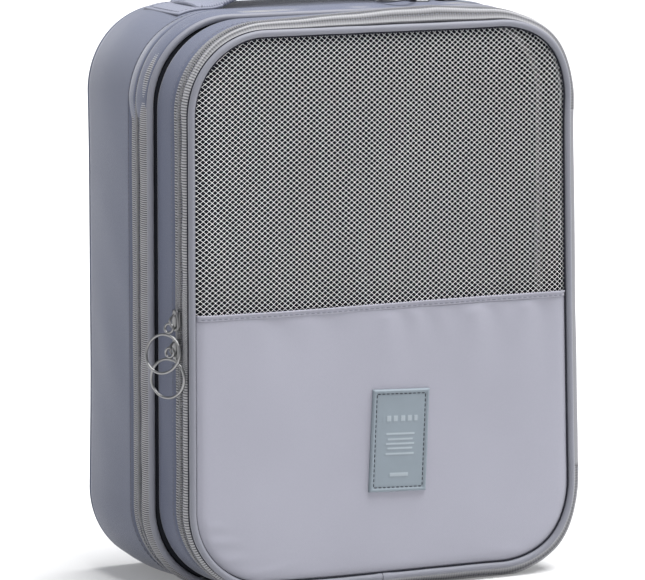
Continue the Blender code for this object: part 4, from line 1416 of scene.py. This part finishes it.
def build_floor():
    """Plain pale floor just under the bag."""
    mesh = bpy.data.meshes.new("floor")
    corners = [(-1, -1), (1, -1), (1, 1), (-1, 1)]
    mesh.from_pydata([(x * FLOOR_REACH, y * FLOOR_REACH, 0) for x, y in corners], [], [(0, 1, 2, 3)])
    floor = bpy.data.objects.new("floor", mesh)
    floor.location.z = -FLOOR_DROP
    bpy.context.scene.collection.objects.link(floor)
    material, tree, shader = new_material("floor_paint", 0.9)
    coords = tree.nodes.new("ShaderNodeTexCoord")
    tinted(tree, shader, (0.54, 0.54, 0.54), 0.01, noise(tree, coords.outputs["Object"], 2.0, 2.0))
    shader.inputs["Emission Color"].default_value = (1.0, 1.0, 1.0, 1.0)
    shader.inputs["Emission Strength"].default_value = 0.2
    mesh.materials.append(material)


def build_lights():
    """Soft studio light: a world that is white near the horizon, and two wide lamps."""
    world = bpy.data.worlds.new("studio")
    bpy.context.scene.world = world
    world.use_nodes = True
    nodes, links = world.node_tree.nodes, world.node_tree.links
    heading = nodes.new("ShaderNodeTexCoord")
    split = nodes.new("ShaderNodeSeparateXYZ")
    sky = nodes.new("ShaderNodeValToRGB")
    links.new(heading.outputs["Generated"], split.inputs[0])
    links.new(split.outputs["Z"], sky.inputs["Fac"])
    links.new(sky.outputs["Color"], nodes["Background"].inputs["Color"])
    low, high = sky.color_ramp.elements
    low.position, low.color = 0.09, (1.0, 1.0, 1.0, 1.0)
    high.position, high.color = 0.22, (0.30, 0.31, 0.34, 1.0)
    for name, way, energy, spread in LAMPS:
        lamp = bpy.data.lights.new(name, "SUN")
        lamp.energy = energy
        lamp.angle = math.radians(spread)
        holder = bpy.data.objects.new(name, lamp)
        holder.rotation_euler = Vector(way).to_track_quat("Z", "Y").to_euler()
        bpy.context.scene.collection.objects.link(holder)


def build_camera():
    """Camera at the photograph's angle."""
    level = math.cos(CAMERA_ELEVATION)
    back = Vector((math.sin(CAMERA_AZIMUTH) * level, -math.cos(CAMERA_AZIMUTH) * level,
                   math.sin(CAMERA_ELEVATION)))
    lens = bpy.data.cameras.new("camera")
    lens.sensor_width = CAMERA_SENSOR
    lens.lens = CAMERA_LENS
    lens.clip_end = 100.0
    camera = bpy.data.objects.new("camera", lens)
    camera.location = CAMERA_AIM + back * CAMERA_DISTANCE
    camera.rotation_euler = back.to_track_quat("Z", "Y").to_euler()
    bpy.context.scene.collection.objects.link(camera)
    bpy.context.scene.camera = camera
    bpy.context.scene.view_settings.view_transform = "Standard"


# ------------------------------------------------------------------ assembly
build_floor()
build_lights()
build_camera()
build_rear_case()
build_front_case()
build_cover()
build_zip("rear", REAR, REAR_ZIP_Y,
          {"front": ("front_case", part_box("rear_zip_front_tape")[0].y),
           "rear": ("rear_case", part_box("rear_zip_rear_tape")[1].y)},
          [REAR_MEET - 8.0 * MM, REAR_MEET + 8.0 * MM], (1.3 * MM, 0.5 * MM), (0.1, 0.0))
build_zip("front", FRONT, FRONT_ZIP_Y,
          {"front": ("cover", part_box("front_zip_front_tape")[0].y),
           "rear": ("front_case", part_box("front_zip_rear_tape")[1].y)},
          [perimeter(FRONT) / 2.0 - 2.0 * MM, perimeter(FRONT) / 2.0 + 14.0 * MM],
          (0.8 * MM, 0.3 * MM), (0.4, -0.2))
build_stops("rear", REAR, REAR_ZIP_Y)
build_stops("front", FRONT, FRONT_ZIP_Y)
build_handle()
build_hardware()

shape_slack()
